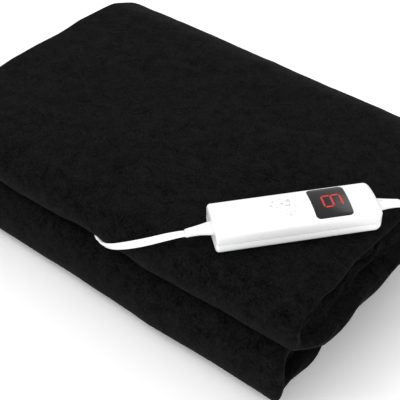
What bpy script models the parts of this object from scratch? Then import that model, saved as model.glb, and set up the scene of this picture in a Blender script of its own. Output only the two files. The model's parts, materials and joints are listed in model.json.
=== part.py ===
"""Folded heated throw with an in-line hand controller, a lead and a coiled mains cord.

Units are metres, +Z is up. The origin is the middle of the folded throw's underside,
+X runs along its long side and +Y points at the spine, so the two closed folds face -Y.
"""
import math

import bmesh
import bpy
from mathutils import Matrix, Vector

# ---------------------------------------------------------------- driving sizes
GAP = 0.0003                    # clearance between touching pieces

# folded throw
FOLD_LENGTH = 0.455
FOLD_WIDTH = 0.312
LOWER_HEIGHT = 0.0615           # the two lower runs together
POCKET_HEIGHT = 0.0065          # slot between lower and upper runs, where the lead lies
UPPER_HEIGHT = 0.042            # the two upper runs together
LOWER_FOLD_REACH = 0.026
LOWER_FOLD_SQUARENESS = 2.6
LOWER_END_SHORT = 0.0175        # the lower runs' +X end behind the upper runs', at the front
LOWER_END_SKEW = 0.125          # how much further behind for each metre towards the spine
SPINE_SQUARENESS = 2.7
SPINE_THICKNESS = 0.024
SPINE_HOLLOW = 0.024            # depth of the hollow inside the spine
LEAF_GAP = 0.0008               # slot inside each fold
FOLD_STEPS = 14                 # flats that make up each fold's half round
FELT_THICKNESS = 0.003
WIRE_DIAMETER = 0.0024
WIRE_SPACE = 0.0022             # from the wire's middle to the inner cover
WIRE_ROWS_PER_RUN = 5
WIRE_TURN = 0.010               # how far a turn swings out past its rows
WIRE_END_SPACE = 0.006          # between a turn and the felt's end
WIRE_EDGE_INSET = 0.016         # from a run's end to its first row of wire
BINDING_THICKNESS = 0.002
PATCH_THICKNESS = 0.0012
END_MARGIN = 0.022              # felt stops this far inside the cover's ends

# hand controller, in its own frame: +X along the casing, +Z up
CASE_LENGTH = 0.1465
CASE_WIDTH = 0.0435
CASE_HEIGHT = 0.0240
CASE_WALL = 0.0022
CASE_SPLIT = 0.010
ARCH_RADIUS = 0.080
ARCH_HALF = 0.0190              # half width of the arched top
FLANK_TOP = 0.0165
BOTTOM_RADIUS = 0.005
LEAD_END_RADIUS = 0.003
MAINS_END_RADIUS = 0.007
CASE_PLACE = (0.1618, -0.0663)
CASE_TURN = math.radians(50.6)
WINDOW_LENGTH = 0.0330
WINDOW_WIDTH = 0.0380
WINDOW_AT = 0.0305
WINDOW_CORNER = 0.004
LENS_THICKNESS = 0.0030
LENS_FLANGE = 0.0010
DIGIT_LENGTH = 0.0182
DIGIT_WIDTH = 0.0158
DIGIT_STROKE = 0.0020
DIGIT_BREAK = 0.0014
DIGIT_AT = 0.0325
DARK_SEGMENT = "upper_right"
BUTTON_RADIUS = 0.0112
BUTTON_AT = -0.011
BUTTON_TRAVEL = 0.0008
BUTTON_FLANGE = 0.0015
BUTTON_FLANGE_RIM = 0.0015      # how far the flange reaches past the button
BUTTON_STEM_RADIUS = 0.0025
SWITCH_SIDE = 0.0115
SWITCH_TOP = 0.0154
SWITCH_BORE_FLOOR = 0.0114
SWITCH_BORE_RADIUS = 0.0021
ACTUATOR_TOP = 0.0180
ACTUATOR_RADIUS = 0.00175
MODULE_DEPTH = 0.0048           # from the casing's crown to the digit module's top
MODULE_RIM = 0.002              # the module beyond the digit, all round
BOARD_LENGTH = 0.122
BOARD_WIDTH = 0.0350
BOARD_THICKNESS = 0.0016
BOARD_HEIGHT = 0.0065
SCREW_AT = (0.0555, 0.0138)
SCREW_RADIUS = 0.0013
SCREW_HEAD_RADIUS = 0.0025
SCREW_HEAD_HEIGHT = 0.0016
SCREW_DEPTH = 0.008             # from the casing's crown to the screw's end
PILLAR_RADIUS = 0.0033
TERMINAL_AT = 0.0495
TERMINAL_SIZE = (0.0080, 0.0120, 0.0075)
FUSE_MIDDLE = (-0.036, -0.0100)
FUSE_LENGTH = 0.0200
FUSE_RADIUS = 0.0026
FUSE_CLIP_SIZE = (0.0040, 0.0072, 0.0058)
FUSE_CLIP_AT = 0.0075
TRIAC_PLACE = (0.006, -0.0075)
TRIAC_SIZE = (0.0100, 0.0044, 0.0105)
HEAT_SINK_SIZE = (0.0160, 0.0016, 0.0112)
CONDUCTOR_DIAMETER = 0.0018
CONDUCTOR_SPACING = 0.0022
NECK_HEIGHT = 0.0115            # middle of the neck where it leaves the casing
NECK_LENGTH = 0.0225
NECK_DROP = 0.0020
NECK_ROOT = (0.0140, 0.0075)
NECK_TIP = (0.0076, 0.0056)
NECK_FLANGE = (0.0030, 0.0180, 0.0110)

# cords
LEAD_DIAMETER = 0.0046
MAINS_DIAMETER = 0.006
COIL_MIDDLE = (0.3005, 0.135)
COIL_LAYERS = 3
COIL_MEAN_RADIUS = 0.033
COIL_BASE = 0.0015
TIE_THICKNESS = 0.0009
TIE_WIDTH = 0.012
PLUG_START = (0.2610, 0.1920, 0.0085)
PLUG_RELIEF = 0.020
PLUG_LENGTH = 0.035
PLUG_WIDTH = 0.026
PLUG_HEIGHT = 0.0145
PLUG_NOSE = (0.016, 0.0125)     # width and height where the relief meets the body
PLUG_SHOULDER = 0.010
PLUG_PIN_RADIUS = 0.0020
PLUG_PIN_SPACING = 0.0095
PLUG_PIN_LENGTH = 0.019
PLUG_PIN_SEAT = 0.012

# lead connector in the spine's hollow, plugged together along X
CONNECTOR_START = -0.072
CONNECTOR_RELIEF = 0.018
CONNECTOR_PLUG = 0.028
CONNECTOR_SOCKET = 0.032
CONNECTOR_WIDTH = 0.013
CONNECTOR_HEIGHT = 0.014
PIN_RADIUS = 0.0010
PIN_SPACING = 0.0038
CONTACT_WALL = 0.0006
LATCH_THICKNESS = 0.0016
LATCH_WIDTH = 0.0052
LATCH_BARREL = 0.0021
LATCH_PIN_RADIUS = 0.0008
LATCH_TAIL = 0.009              # lever behind its pivot
LATCH_HOOK = 0.0016
PIVOT_BACK = 0.012              # pivot behind the plug's face
EAR_SIZE = (0.0044, 0.0016)
CATCH_HEIGHT = 0.0012
CATCH_LENGTH = 0.0030
CATCH_PLACE = 0.0052            # catch behind the socket's face
PIN_SEAT = 0.010                # depth of a pin's hole in the plug
PIN_REACH = 0.011               # length of a pin beyond the plug's face
CONTACT_DEPTH = 0.0120
RELIEF_END_RADIUS = 0.0052
RELIEF_WALL = 0.0008            # thickness of a relief over its cord

# ---------------------------------------------------------------- sizes that follow
HEIGHT = LOWER_HEIGHT + POCKET_HEIGHT + UPPER_HEIGHT
FRONT = -FOLD_WIDTH / 2
BACK = FOLD_WIDTH / 2
POCKET_FLOOR = LOWER_HEIGHT
POCKET_ROOF = LOWER_HEIGHT + POCKET_HEIGHT
POCKET_MIDDLE = LOWER_HEIGHT + POCKET_HEIGHT / 2
LOWER_MIDDLE = LOWER_HEIGHT / 2
UPPER_MIDDLE = POCKET_ROOF + UPPER_HEIGHT / 2
SPINE_START = BACK - SPINE_THICKNESS - SPINE_HOLLOW
LEAF_END = SPINE_START - 0.002
SPINE_FIRST = 2 + FOLD_STEPS    # place of the spine's first point in the bundle's outline
CONNECTOR_Y = SPINE_START + PATCH_THICKNESS + BINDING_THICKNESS + CONNECTOR_WIDTH / 2
CASE_FLOOR = HEIGHT + GAP
COIL_OUTER = COIL_MEAN_RADIUS + COIL_LAYERS * MAINS_DIAMETER / 2
COIL_INNER = COIL_MEAN_RADIUS - COIL_LAYERS * MAINS_DIAMETER / 2
COIL_TOP = COIL_BASE + COIL_LAYERS * MAINS_DIAMETER

SOCKET_BACK = (CONNECTOR_START - CONNECTOR_RELIEF - CONNECTOR_PLUG - GAP - CONNECTOR_SOCKET)
WIRE_EXIT_X = SOCKET_BACK - 0.034

# Routes, chosen by hand. The lead runs from the controller over the front fold and
# between the folds to the connector; the mains cord runs from the controller to the coil.
LEAD_ROUTE = [
    (0.0970, -0.1452, 0.1197), (0.0880, -0.1524, 0.1163), (0.0765, -0.1577, 0.1095),
    (0.0645, -0.1610, 0.1018), (0.0500, -0.1630, 0.0922), (0.0355, -0.1622, 0.0822),
    (0.0215, -0.1584, 0.0735), (0.0075, -0.1510, 0.0680), (-0.0070, -0.1390, 0.0652),
    (-0.0185, -0.1230, 0.0648), (-0.0265, -0.0950, 0.0648), (-0.0300, -0.0500, 0.0648),
    (-0.0300, 0.0000, 0.0648), (-0.0290, 0.0480, 0.0648), (-0.0318, 0.0830, 0.0648),
    (-0.0420, 0.1060, 0.0648), (-0.0570, 0.1166, 0.0648),
]
MAINS_ROUTE = [
    (0.2295, 0.0161, 0.1197), (0.2390, 0.0275, 0.1158), (0.2490, 0.0398, 0.1062),
    (0.2555, 0.0485, 0.0905), (0.2585, 0.0545, 0.0700), (0.2598, 0.0600, 0.0500),
    (0.2606, 0.0665, 0.0320), (0.2612, 0.0755, 0.0170), (0.2615, 0.0870, 0.0075),
    (0.2615, 0.1000, 0.0046),
]
TAIL_ROUTE = [(0.2614, 0.1660, 0.0155), (0.2611, 0.1760, 0.0112), (0.2610, 0.1850, 0.0085)]


# finishes used by more than one piece: colour, roughness, metallic
STEEL = ((0.60, 0.60, 0.62), 0.3, 1.0)
BRASS = ((0.75, 0.65, 0.40), 0.3, 1.0)
WHITE_PLASTIC = ((0.85, 0.85, 0.86), 0.35)
BLACK_PLASTIC = ((0.03, 0.03, 0.035), 0.45)
PLUSH = ((0.012, 0.012, 0.013), 0.95)


# ---------------------------------------------------------------- helpers
def material(name, colour, roughness, metallic=0.0):
    """One Principled material per sub-part."""
    mat = bpy.data.materials.new(name)
    mat.use_nodes = True
    shader = mat.node_tree.nodes["Principled BSDF"]
    shader.inputs["Base Color"].default_value = (*colour, 1.0)
    shader.inputs["Roughness"].default_value = roughness
    shader.inputs["Metallic"].default_value = metallic
    return mat


def add_object(name, bm, finish, parent=None):
    """Store a bmesh as an object with its own material."""
    bmesh.ops.recalc_face_normals(bm, faces=bm.faces)
    mesh = bpy.data.meshes.new(name)
    bm.to_mesh(mesh)
    bm.free()
    obj = bpy.data.objects.new(name, mesh)
    bpy.context.scene.collection.objects.link(obj)
    mesh.materials.append(material(name, *finish))
    obj.parent = parent
    return obj


def loft(rings):
    """Closed solid through rings that hold the same number of points."""
    bm = bmesh.new()
    loops = [[bm.verts.new(point) for point in ring] for ring in rings]
    count = len(rings[0])
    for low, high in zip(loops, loops[1:]):
        for i in range(count):
            j = (i + 1) % count
            bm.faces.new((low[i], low[j], high[j], high[i]))
    bm.faces.new(list(reversed(loops[0])))
    bm.faces.new(loops[-1])
    return bm


def add_box(bm, size, middle):
    """Put a box in a bmesh."""
    bmesh.ops.create_cube(bm, size=1.0, matrix=Matrix.LocRotScale(middle, None, size))


def add_rod(bm, radius, start, end, sides=20):
    """Put a cylinder between two points."""
    start, end = Vector(start), Vector(end)
    turn = (end - start).to_track_quat("Z", "Y")
    place = Matrix.LocRotScale((start + end) / 2, turn, None)
    bmesh.ops.create_cone(bm, cap_ends=True, segments=sides, radius1=radius, radius2=radius,
                          depth=(end - start).length, matrix=place)


def box_object(name, size, middle, finish, parent=None):
    bm = bmesh.new()
    add_box(bm, size, middle)
    return add_object(name, bm, finish, parent)


def rod_object(name, radius, start, end, finish, parent=None, sides=20):
    bm = bmesh.new()
    add_rod(bm, radius, start, end, sides)
    return add_object(name, bm, finish, parent)


def combine(obj, tool, operation):
    """Cut, join or intersect obj with a tool, which is used up."""
    tool.hide_render = True
    tool.display_type = "WIRE"
    step = obj.modifiers.new(operation, "BOOLEAN")
    step.operation = operation
    step.object = tool
    bpy.context.view_layer.update()
    graph = bpy.context.evaluated_depsgraph_get()
    result = bpy.data.meshes.new_from_object(obj.evaluated_get(graph))
    obj.modifiers.clear()
    old = obj.data
    obj.data = result
    result.name = obj.name
    bpy.data.meshes.remove(old)
    bpy.data.objects.remove(tool)


def smooth(obj, angle=35):
    obj.data.shade_smooth()
    obj.data.set_sharp_from_angle(angle=math.radians(angle))


def smooth_route(points, step):
    """Evenly spaced points on a smooth curve through the route's own points."""
    points = [Vector(p) for p in points]
    fine = []
    for i in range(len(points) - 1):
        before = points[max(i - 1, 0)]
        after = points[min(i + 2, len(points) - 1)]
        start, end = points[i], points[i + 1]
        for k in range(24):
            t = k / 24
            fine.append(0.5 * (2 * start + (end - before) * t
                               + (2 * before - 5 * start + 4 * end - after) * t * t
                               + (3 * start - before - 3 * end + after) * t ** 3))
    fine.append(points[-1])
    lengths = [0.0]
    for a, b in zip(fine, fine[1:]):
        lengths.append(lengths[-1] + (b - a).length)
    count = max(2, round(lengths[-1] / step))
    result = []
    at = 0
    for k in range(count + 1):
        target = lengths[-1] * k / count
        while at < len(lengths) - 2 and lengths[at + 1] < target:
            at += 1
        part = (target - lengths[at]) / (lengths[at + 1] - lengths[at])
        result.append(fine[at].lerp(fine[at + 1], min(part, 1.0)))
    return result


def tube(name, points, diameter, finish, resolution=2, parent=None):
    """Round cord as a bevelled poly curve with filled caps."""
    curve = bpy.data.curves.new(name, "CURVE")
    curve.dimensions = "3D"
    curve.bevel_depth = diameter / 2
    curve.bevel_resolution = resolution
    curve.use_fill_caps = True
    spline = curve.splines.new("POLY")
    spline.points.add(len(points) - 1)
    for slot, point in zip(spline.points, points):
        slot.co = (*point, 1.0)
    obj = bpy.data.objects.new(name, curve)
    bpy.context.scene.collection.objects.link(obj)
    curve.materials.append(material(name, *finish))
    obj.parent = parent
    return obj


# ---------------------------------------------------------------- folded throw
def bow(middle_y, middle_z, reach, half_height, squareness, angle):
    """Point on a squared half ellipse that bulges by reach, with 90 degrees at its top."""
    c, s = math.cos(angle), math.sin(angle)
    power = 2 / squareness
    return (middle_y + reach * abs(c) ** power,
            middle_z + math.copysign(abs(s) ** power, s) * half_height)


def fold_pairs():
    """The folded bundle from its lower free edge to its upper one.

    Each entry is a point on the bundle's outer face, its partner on the inner face, and
    the X of the bundle's +X end there. The lower runs fall short of the upper ones, at a
    slant, and the spine evens that out.
    """
    slot = LEAF_GAP / 2
    lower_start = FRONT + LOWER_FOLD_REACH
    upper_start = FRONT + UPPER_HEIGHT / 2
    angles = [math.pi / 2 - math.pi * k / FOLD_STEPS for k in range(FOLD_STEPS + 1)]
    pairs = [((LEAF_END, POCKET_FLOOR), (LEAF_END, LOWER_MIDDLE + slot))]
    for a in angles:
        pairs.append((bow(lower_start, LOWER_MIDDLE, -LOWER_FOLD_REACH, LOWER_HEIGHT / 2,
                          LOWER_FOLD_SQUARENESS, a),
                      bow(lower_start, LOWER_MIDDLE, -slot, slot, 2, a)))
    for a in reversed(angles):
        pairs.append((bow(SPINE_START, HEIGHT / 2, SPINE_THICKNESS + SPINE_HOLLOW,
                          HEIGHT / 2, SPINE_SQUARENESS, a),
                      bow(SPINE_START, (LOWER_MIDDLE + UPPER_MIDDLE) / 2, SPINE_HOLLOW,
                          (UPPER_MIDDLE - LOWER_MIDDLE) / 2 + slot, 2, a)))
    for a in angles:
        pairs.append((bow(upper_start, UPPER_MIDDLE, -UPPER_HEIGHT / 2, UPPER_HEIGHT / 2, 2, a),
                      bow(upper_start, UPPER_MIDDLE, -slot, slot, 2, a)))
    pairs.append(((LEAF_END, POCKET_ROOF), (LEAF_END, UPPER_MIDDLE - slot)))
    entries = []
    for index, (outer, inner) in enumerate(pairs):
        rise = min(max((index - SPINE_FIRST) / FOLD_STEPS, 0.0), 1.0)
        short = LOWER_END_SHORT + LOWER_END_SKEW * (outer[0] - FRONT)
        end = FOLD_LENGTH / 2 - short * (1 - rise * rise * (3 - 2 * rise))
        entries.append((Vector(outer), Vector(inner), end))
    return entries


def layer_point(pair, share, shift):
    """A point at a share of the bundle's thickness, moved inwards by shift."""
    outer, inner = pair[:2]
    across = inner - outer
    return outer + across * share + across.normalized() * shift


def inner_leaves(pairs):
    """The leaves inside the felt, cut where the flat runs meet the spine's bend."""
    spine_last = SPINE_FIRST + FOLD_STEPS
    step = Vector((-GAP, 0))
    lower_end, upper_start = ((outer + step, inner + step, end)
                              for outer, inner, end in (pairs[SPINE_FIRST], pairs[spine_last]))
    parts = {"lower": pairs[:SPINE_FIRST] + [lower_end],
             "spine": pairs[SPINE_FIRST:spine_last + 1],
             "upper": [upper_start] + pairs[spine_last + 1:]}
    for name, part in parts.items():
        ribbon("cover_inner_" + name, part, (0.5, WIRE_SPACE), (1.0, 0.0), 0.0, PLUSH)


def ribbon(name, pairs, first, last, margin, finish):
    """A layer of the folded bundle between two depths, a margin short of both ends."""
    outline = [(layer_point(pair, *first), pair[2]) for pair in pairs]
    outline += [(layer_point(pair, *last), pair[2]) for pair in reversed(pairs)]
    start = margin - FOLD_LENGTH / 2
    rings = [[(start, p.x, p.y) for p, _ in outline],
             [(end - margin, p.x, p.y) for p, end in outline]]
    return add_object(name, loft(rings), finish)


def wire_positions(middles):
    """Distances along the wire's layer at which a row of wire crosses the throw."""
    marks = [0.0]
    for a, b in zip(middles, middles[1:]):
        marks.append(marks[-1] + (b - a).xy.length)
    rows = []
    flat = [(marks[i], marks[i + 1]) for i in range(len(marks) - 1)
            if marks[i + 1] - marks[i] > 0.1]
    for start, end in flat:
        spread = end - start - 2 * WIRE_EDGE_INSET
        for k in range(WIRE_ROWS_PER_RUN):
            rows.append(start + WIRE_EDGE_INSET + spread * k / (WIRE_ROWS_PER_RUN - 1))
    return marks, rows


def along(middles, marks, distance):
    for i in range(len(marks) - 1):
        if distance <= marks[i + 1]:
            break
    part = (distance - marks[i]) / (marks[i + 1] - marks[i])
    return middles[i].lerp(middles[i + 1], part)


def wire_tail(side, layer_height):
    """End of the wire, from the socket's back into its layer at the free edge."""
    hole = WIRE_EXIT_X + side * 0.004
    y = CONNECTOR_Y + side * PIN_SPACING
    middle = POCKET_MIDDLE
    return [(SOCKET_BACK + 0.012, y, middle), (SOCKET_BACK - 0.006, y, middle),
            (SOCKET_BACK - 0.016, y, middle + (layer_height - middle) * 0.15),
            (hole + 0.010, y, middle + (layer_height - middle) * 0.60),
            (hole + 0.003, LEAF_END + 0.010, middle + (layer_height - middle) * 0.90),
            (hole, LEAF_END + 0.006, layer_height), (hole, LEAF_END - 0.006, layer_height),
            (hole + 0.002, LEAF_END - 0.012, layer_height),
            (hole + 0.006, LEAF_END - WIRE_EDGE_INSET + 0.0005, layer_height)]


def heating_wire(pairs):
    """One serpentine: rows along X, joined by turns that follow the folds."""
    middles = [Vector((*layer_point(pair, 0.5, 0.0), pair[2])) for pair in pairs]
    marks, rows = wire_positions(middles)
    inset = END_MARGIN + WIRE_TURN + WIRE_END_SPACE

    def row_end(side, p):
        return p.z - inset if side > 0 else inset - FOLD_LENGTH / 2

    points = wire_tail(-1, middles[0].y)
    side = 1
    for index, here in enumerate(rows):
        p = along(middles, marks, here)
        start = WIRE_EXIT_X + 0.008 if index == 0 else row_end(-side, p)
        points.append((start, p.x, p.y))
        if index == len(rows) - 1:
            points.append((WIRE_EXIT_X + 0.016, p.x, p.y))
            break
        points.append((row_end(side, p), p.x, p.y))
        after = rows[index + 1]
        on_a_run = abs(after - here - (rows[1] - rows[0])) < 0.001
        steps = 5 if on_a_run else math.ceil((after - here) / 0.005)
        for k in range(1, steps):
            t = k / steps
            p = along(middles, marks, here + (after - here) * (1 - math.cos(math.pi * t)) / 2)
            swing = side * WIRE_TURN * math.sin(math.pi * t)
            points.append((row_end(side, p) + swing, p.x, p.y))
        side = -side
    points += reversed(wire_tail(1, middles[-1].y))
    return tube("heating_wire", [Vector(p) for p in points], WIRE_DIAMETER,
                ((0.55, 0.12, 0.10), 0.5), resolution=1)


def edge_binding(name, low, high, end):
    """Strip of binding over a free edge of the throw."""
    start = LEAF_END + GAP
    length = end + FOLD_LENGTH / 2 - 2 * GAP
    strip = box_object(name, (length, BINDING_THICKNESS, high - low),
                       (end - GAP - length / 2, start + BINDING_THICKNESS / 2, (low + high) / 2),
                       ((0.02, 0.02, 0.02), 0.9))
    hole = bmesh.new()
    side = -1 if high < POCKET_MIDDLE else 1
    x = WIRE_EXIT_X + side * 0.004
    add_rod(hole, WIRE_DIAMETER / 2 + 2 * GAP, (x, start - 0.01, (low + high) / 2),
            (x, start + 0.01, (low + high) / 2), sides=16)
    combine(strip, tool_object(hole, None), "DIFFERENCE")


def folded_throw():
    pairs = fold_pairs()
    felt_top = -WIRE_DIAMETER / 2 - GAP
    felt_bottom = felt_top - FELT_THICKNESS
    ribbon("cover_outer", pairs, (0.0, 0.0), (0.5, felt_bottom - GAP), 0.0, PLUSH)
    ribbon("heating_felt", pairs, (0.5, felt_bottom), (0.5, felt_top), END_MARGIN,
           ((0.45, 0.45, 0.46), 0.95))
    inner_leaves(pairs)
    heating_wire(pairs)
    slot = LEAF_GAP / 2
    edge_binding("edge_binding_lower", LOWER_MIDDLE + slot, POCKET_FLOOR, pairs[0][2])
    edge_binding("edge_binding_upper", POCKET_ROOF, UPPER_MIDDLE - slot, pairs[-1][2])
    patch_start = LEAF_END + BINDING_THICKNESS + 2 * GAP
    top = POCKET_MIDDLE + CONNECTOR_HEIGHT / 2
    bottom = LOWER_MIDDLE + 0.006
    socket_middle = CONNECTOR_START - CONNECTOR_RELIEF - CONNECTOR_PLUG - CONNECTOR_SOCKET / 2
    box_object("socket_patch", (CONNECTOR_SOCKET + 0.012, PATCH_THICKNESS, top - bottom),
               (socket_middle, patch_start + PATCH_THICKNESS / 2, (top + bottom) / 2),
               ((0.03, 0.03, 0.03), 0.9))


# ---------------------------------------------------------------- controller casing
def arch_height(y, inset):
    radius = ARCH_RADIUS - inset
    return CASE_HEIGHT - ARCH_RADIUS + math.sqrt(radius * radius - y * y)


def casing_section(inset):
    """Right half of the casing's section as (y, z), from the bottom up, then mirrored."""
    half = CASE_WIDTH / 2 - inset
    corner = max(BOTTOM_RADIUS - inset, 0.001)
    arch_half = ARCH_HALF - inset
    side = []
    for k in range(4):
        a = -math.pi / 2 + math.pi / 2 * k / 3
        side.append((half - corner + corner * math.cos(a), inset + corner * (1 + math.sin(a))))
    peak = arch_height(arch_half, inset)
    for k in range(5):
        t = k / 4
        y = (1 - t) ** 2 * half + 2 * t * (1 - t) * half + t * t * arch_half
        z = (1 - t) ** 2 * FLANK_TOP + 2 * t * (1 - t) * (peak - 0.0006) + t * t * peak
        side.append((y, z))
    for share in (0.75, 0.5, 0.25):
        side.append((arch_half * share, arch_height(arch_half * share, inset)))
    top = (0.0, arch_height(0.0, inset))
    return side + [top] + [(-y, z) for y, z in reversed(side)]


def casing_body(wall):
    """Closed casing form, offset inwards by wall, with rounded ends."""
    rings = []
    for side, radius in ((-1, LEAD_END_RADIUS), (1, MAINS_END_RADIUS)):
        radius = max(radius - wall, 0.001)
        end = CASE_LENGTH / 2 - wall
        group = []
        for k in range(4):
            a = math.pi / 2 * k / 3
            x = side * (end - radius * (1 - math.cos(a)))
            pinch = radius * (1 - math.sin(a))
            group.append((x, wall + pinch))
        rings += group if side < 0 else list(reversed(group))
    return loft([[(x, y, z) for y, z in casing_section(inset)] for x, inset in rings])


def rounded_block(length, width, low, high, corner, middle=(0, 0)):
    """Upright block with rounded corners."""
    outline = []
    for cx, cy, start in ((1, 1, 0), (-1, 1, 90), (-1, -1, 180), (1, -1, 270)):
        for k in range(4):
            a = math.radians(start + 30 * k)
            outline.append((middle[0] + cx * (length / 2 - corner) + corner * math.cos(a),
                            middle[1] + cy * (width / 2 - corner) + corner * math.sin(a)))
    return loft([[(x, y, z) for x, y in outline] for z in (low, high)])


def tool_object(bm, parent):
    return add_object("tool", bm, ((0.5, 0.5, 0.5), 0.5), parent)


def half_space(upper, parent):
    """Box that removes everything above or below the casing's split."""
    bm = bmesh.new()
    depth = 0.06
    edge = CASE_SPLIT + (GAP / 2 if not upper else -GAP / 2)
    middle = edge - depth / 2 if not upper else edge + depth / 2
    add_box(bm, (0.3, 0.2, depth), (0, 0, middle))
    return tool_object(bm, parent)


def screw_places():
    return [(x, y) for x in (-SCREW_AT[0], SCREW_AT[0]) for y in (-SCREW_AT[1], SCREW_AT[1])]


def screw_rods(radius, low, high, parent):
    bm = bmesh.new()
    for x, y in screw_places():
        add_rod(bm, radius, (x, y, low), (x, y, high), sides=16)
    return tool_object(bm, parent)


def neck_opening(parent):
    """The two end openings that the necks pass through."""
    bm = bmesh.new()
    for side in (-1, 1):
        add_box(bm, (0.012, NECK_ROOT[0] + 2 * GAP, NECK_ROOT[1] + 2 * GAP),
                (side * CASE_LENGTH / 2, 0, NECK_HEIGHT))
    return tool_object(bm, parent)


def casing_shells(parent):
    board_top = BOARD_HEIGHT + BOARD_THICKNESS

    top = add_object("controller_top_shell", casing_body(0.0), WHITE_PLASTIC, parent)
    combine(top, tool_object(casing_body(CASE_WALL), parent), "DIFFERENCE")
    combine(top, half_space(False, parent), "DIFFERENCE")
    combine(top, screw_rods(PILLAR_RADIUS, board_top + GAP, CASE_HEIGHT - 0.0035, parent),
            "UNION")
    combine(top, screw_rods(SCREW_RADIUS + GAP, 0.0, CASE_HEIGHT - 0.006, parent),
            "DIFFERENCE")
    combine(top, tool_object(rounded_block(WINDOW_LENGTH, WINDOW_WIDTH, CASE_SPLIT + 0.005,
                                           0.04, WINDOW_CORNER, (WINDOW_AT, 0)), parent),
            "DIFFERENCE")
    hole = bmesh.new()
    add_rod(hole, BUTTON_RADIUS + GAP, (BUTTON_AT, 0, CASE_SPLIT + 0.005),
            (BUTTON_AT, 0, 0.04), sides=32)
    combine(top, tool_object(hole, parent), "DIFFERENCE")
    combine(top, neck_opening(parent), "DIFFERENCE")
    smooth(top)

    bottom = add_object("controller_bottom_shell", casing_body(0.0), WHITE_PLASTIC, parent)
    combine(bottom, tool_object(casing_body(CASE_WALL), parent), "DIFFERENCE")
    combine(bottom, half_space(True, parent), "DIFFERENCE")
    combine(bottom, screw_rods(PILLAR_RADIUS, 0.001, BOARD_HEIGHT - GAP, parent), "UNION")
    combine(bottom, screw_rods(SCREW_RADIUS + GAP, -0.01, 0.02, parent), "DIFFERENCE")
    combine(bottom, screw_rods(SCREW_HEAD_RADIUS + GAP, -0.01, SCREW_HEAD_HEIGHT + GAP, parent),
            "DIFFERENCE")
    combine(bottom, neck_opening(parent), "DIFFERENCE")
    smooth(bottom)

    for number, (x, y) in enumerate(screw_places(), 1):
        screw = rod_object(f"casing_screw_{number}", SCREW_HEAD_RADIUS, (x, y, 0.0001),
                           (x, y, SCREW_HEAD_HEIGHT), STEEL, parent, sides=16)
        shank = bmesh.new()
        add_rod(shank, SCREW_RADIUS, (x, y, SCREW_HEAD_HEIGHT / 2), (x, y, CASE_HEIGHT - SCREW_DEPTH),
                sides=16)
        combine(screw, tool_object(shank, parent), "UNION")


# ---------------------------------------------------------------- display and button
def digit_bars(grow, low, high):
    """The seven bars of the digit, which lies with its height along the casing."""
    bars = {}
    half_l = (DIGIT_LENGTH - DIGIT_STROKE) / 2
    half_w = (DIGIT_WIDTH - DIGIT_STROKE) / 2
    places = {
        "top": ((half_l, 0), "y"), "middle": ((0, 0), "y"), "bottom": ((-half_l, 0), "y"),
        "upper_left": ((half_l / 2, half_w), "x"), "upper_right": ((half_l / 2, -half_w), "x"),
        "lower_left": ((-half_l / 2, half_w), "x"), "lower_right": ((-half_l / 2, -half_w), "x"),
    }
    for name, ((x, y), axis) in places.items():
        run = 2 * half_w if axis == "y" else half_l
        half_run = (run - DIGIT_BREAK) / 2 + grow
        half_stroke = DIGIT_STROKE / 2 + grow
        tip = DIGIT_STROKE / 2
        outline = [(-half_run, 0), (-half_run + tip, -half_stroke), (half_run - tip, -half_stroke),
                   (half_run, 0), (half_run - tip, half_stroke), (-half_run + tip, half_stroke)]
        if axis == "y":
            outline = [(-b, a) for a, b in outline]
        bars[name] = [[(DIGIT_AT + x + a, y + b, z) for a, b in outline] for z in (low, high)]
    return bars


def arched_plate(length, width, top_inset, thickness, corner, parent, name, finish):
    """Plate that follows the casing's arch, cut to a rounded rectangle."""
    ys = [width * (k / 8 - 0.5) for k in range(9)]
    upper = [(y, arch_height(y, top_inset)) for y in ys]
    lower = [(y, arch_height(y, top_inset + thickness)) for y in reversed(ys)]
    plate = loft([[(x, y, z) for y, z in upper + lower]
                  for x in (WINDOW_AT - length / 2, WINDOW_AT + length / 2)])
    obj = add_object(name, plate, finish, parent)
    combine(obj, tool_object(rounded_block(length, width, 0.01, 0.04, corner, (WINDOW_AT, 0)),
                             parent), "INTERSECT")
    return obj


def display(parent):
    gloss = ((0.01, 0.01, 0.012), 0.08)
    lens = arched_plate(WINDOW_LENGTH - 2 * GAP, WINDOW_WIDTH - 2 * GAP, 0.0, LENS_THICKNESS,
                        WINDOW_CORNER, parent, "display_window", gloss)
    flange = arched_plate(WINDOW_LENGTH + 0.002, WINDOW_WIDTH - 0.0042, CASE_WALL + GAP,
                          LENS_FLANGE, WINDOW_CORNER, parent, "tool", gloss)
    combine(lens, flange, "UNION")
    for rings in digit_bars(GAP, 0.01, 0.04).values():
        combine(lens, tool_object(loft(rings), parent), "DIFFERENCE")
    smooth(lens)

    module_top = CASE_HEIGHT - MODULE_DEPTH
    board_top = BOARD_HEIGHT + BOARD_THICKNESS
    box_object("digit_module", (DIGIT_LENGTH + 2 * MODULE_RIM, DIGIT_WIDTH + 2 * MODULE_RIM,
                                module_top - board_top - GAP),
               (DIGIT_AT, 0, (module_top + board_top + GAP) / 2), ((0.05, 0.05, 0.05), 0.5),
               parent)
    for name, rings in digit_bars(0.0, module_top + GAP, 0.04).items():
        colour = (0.12, 0.02, 0.02) if name == DARK_SEGMENT else (0.9, 0.05, 0.04)
        bar = add_object("digit_segment_" + name, loft(rings), (colour, 0.4), parent)
        combine(bar, tool_object(casing_body(0.0), parent), "INTERSECT")


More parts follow.
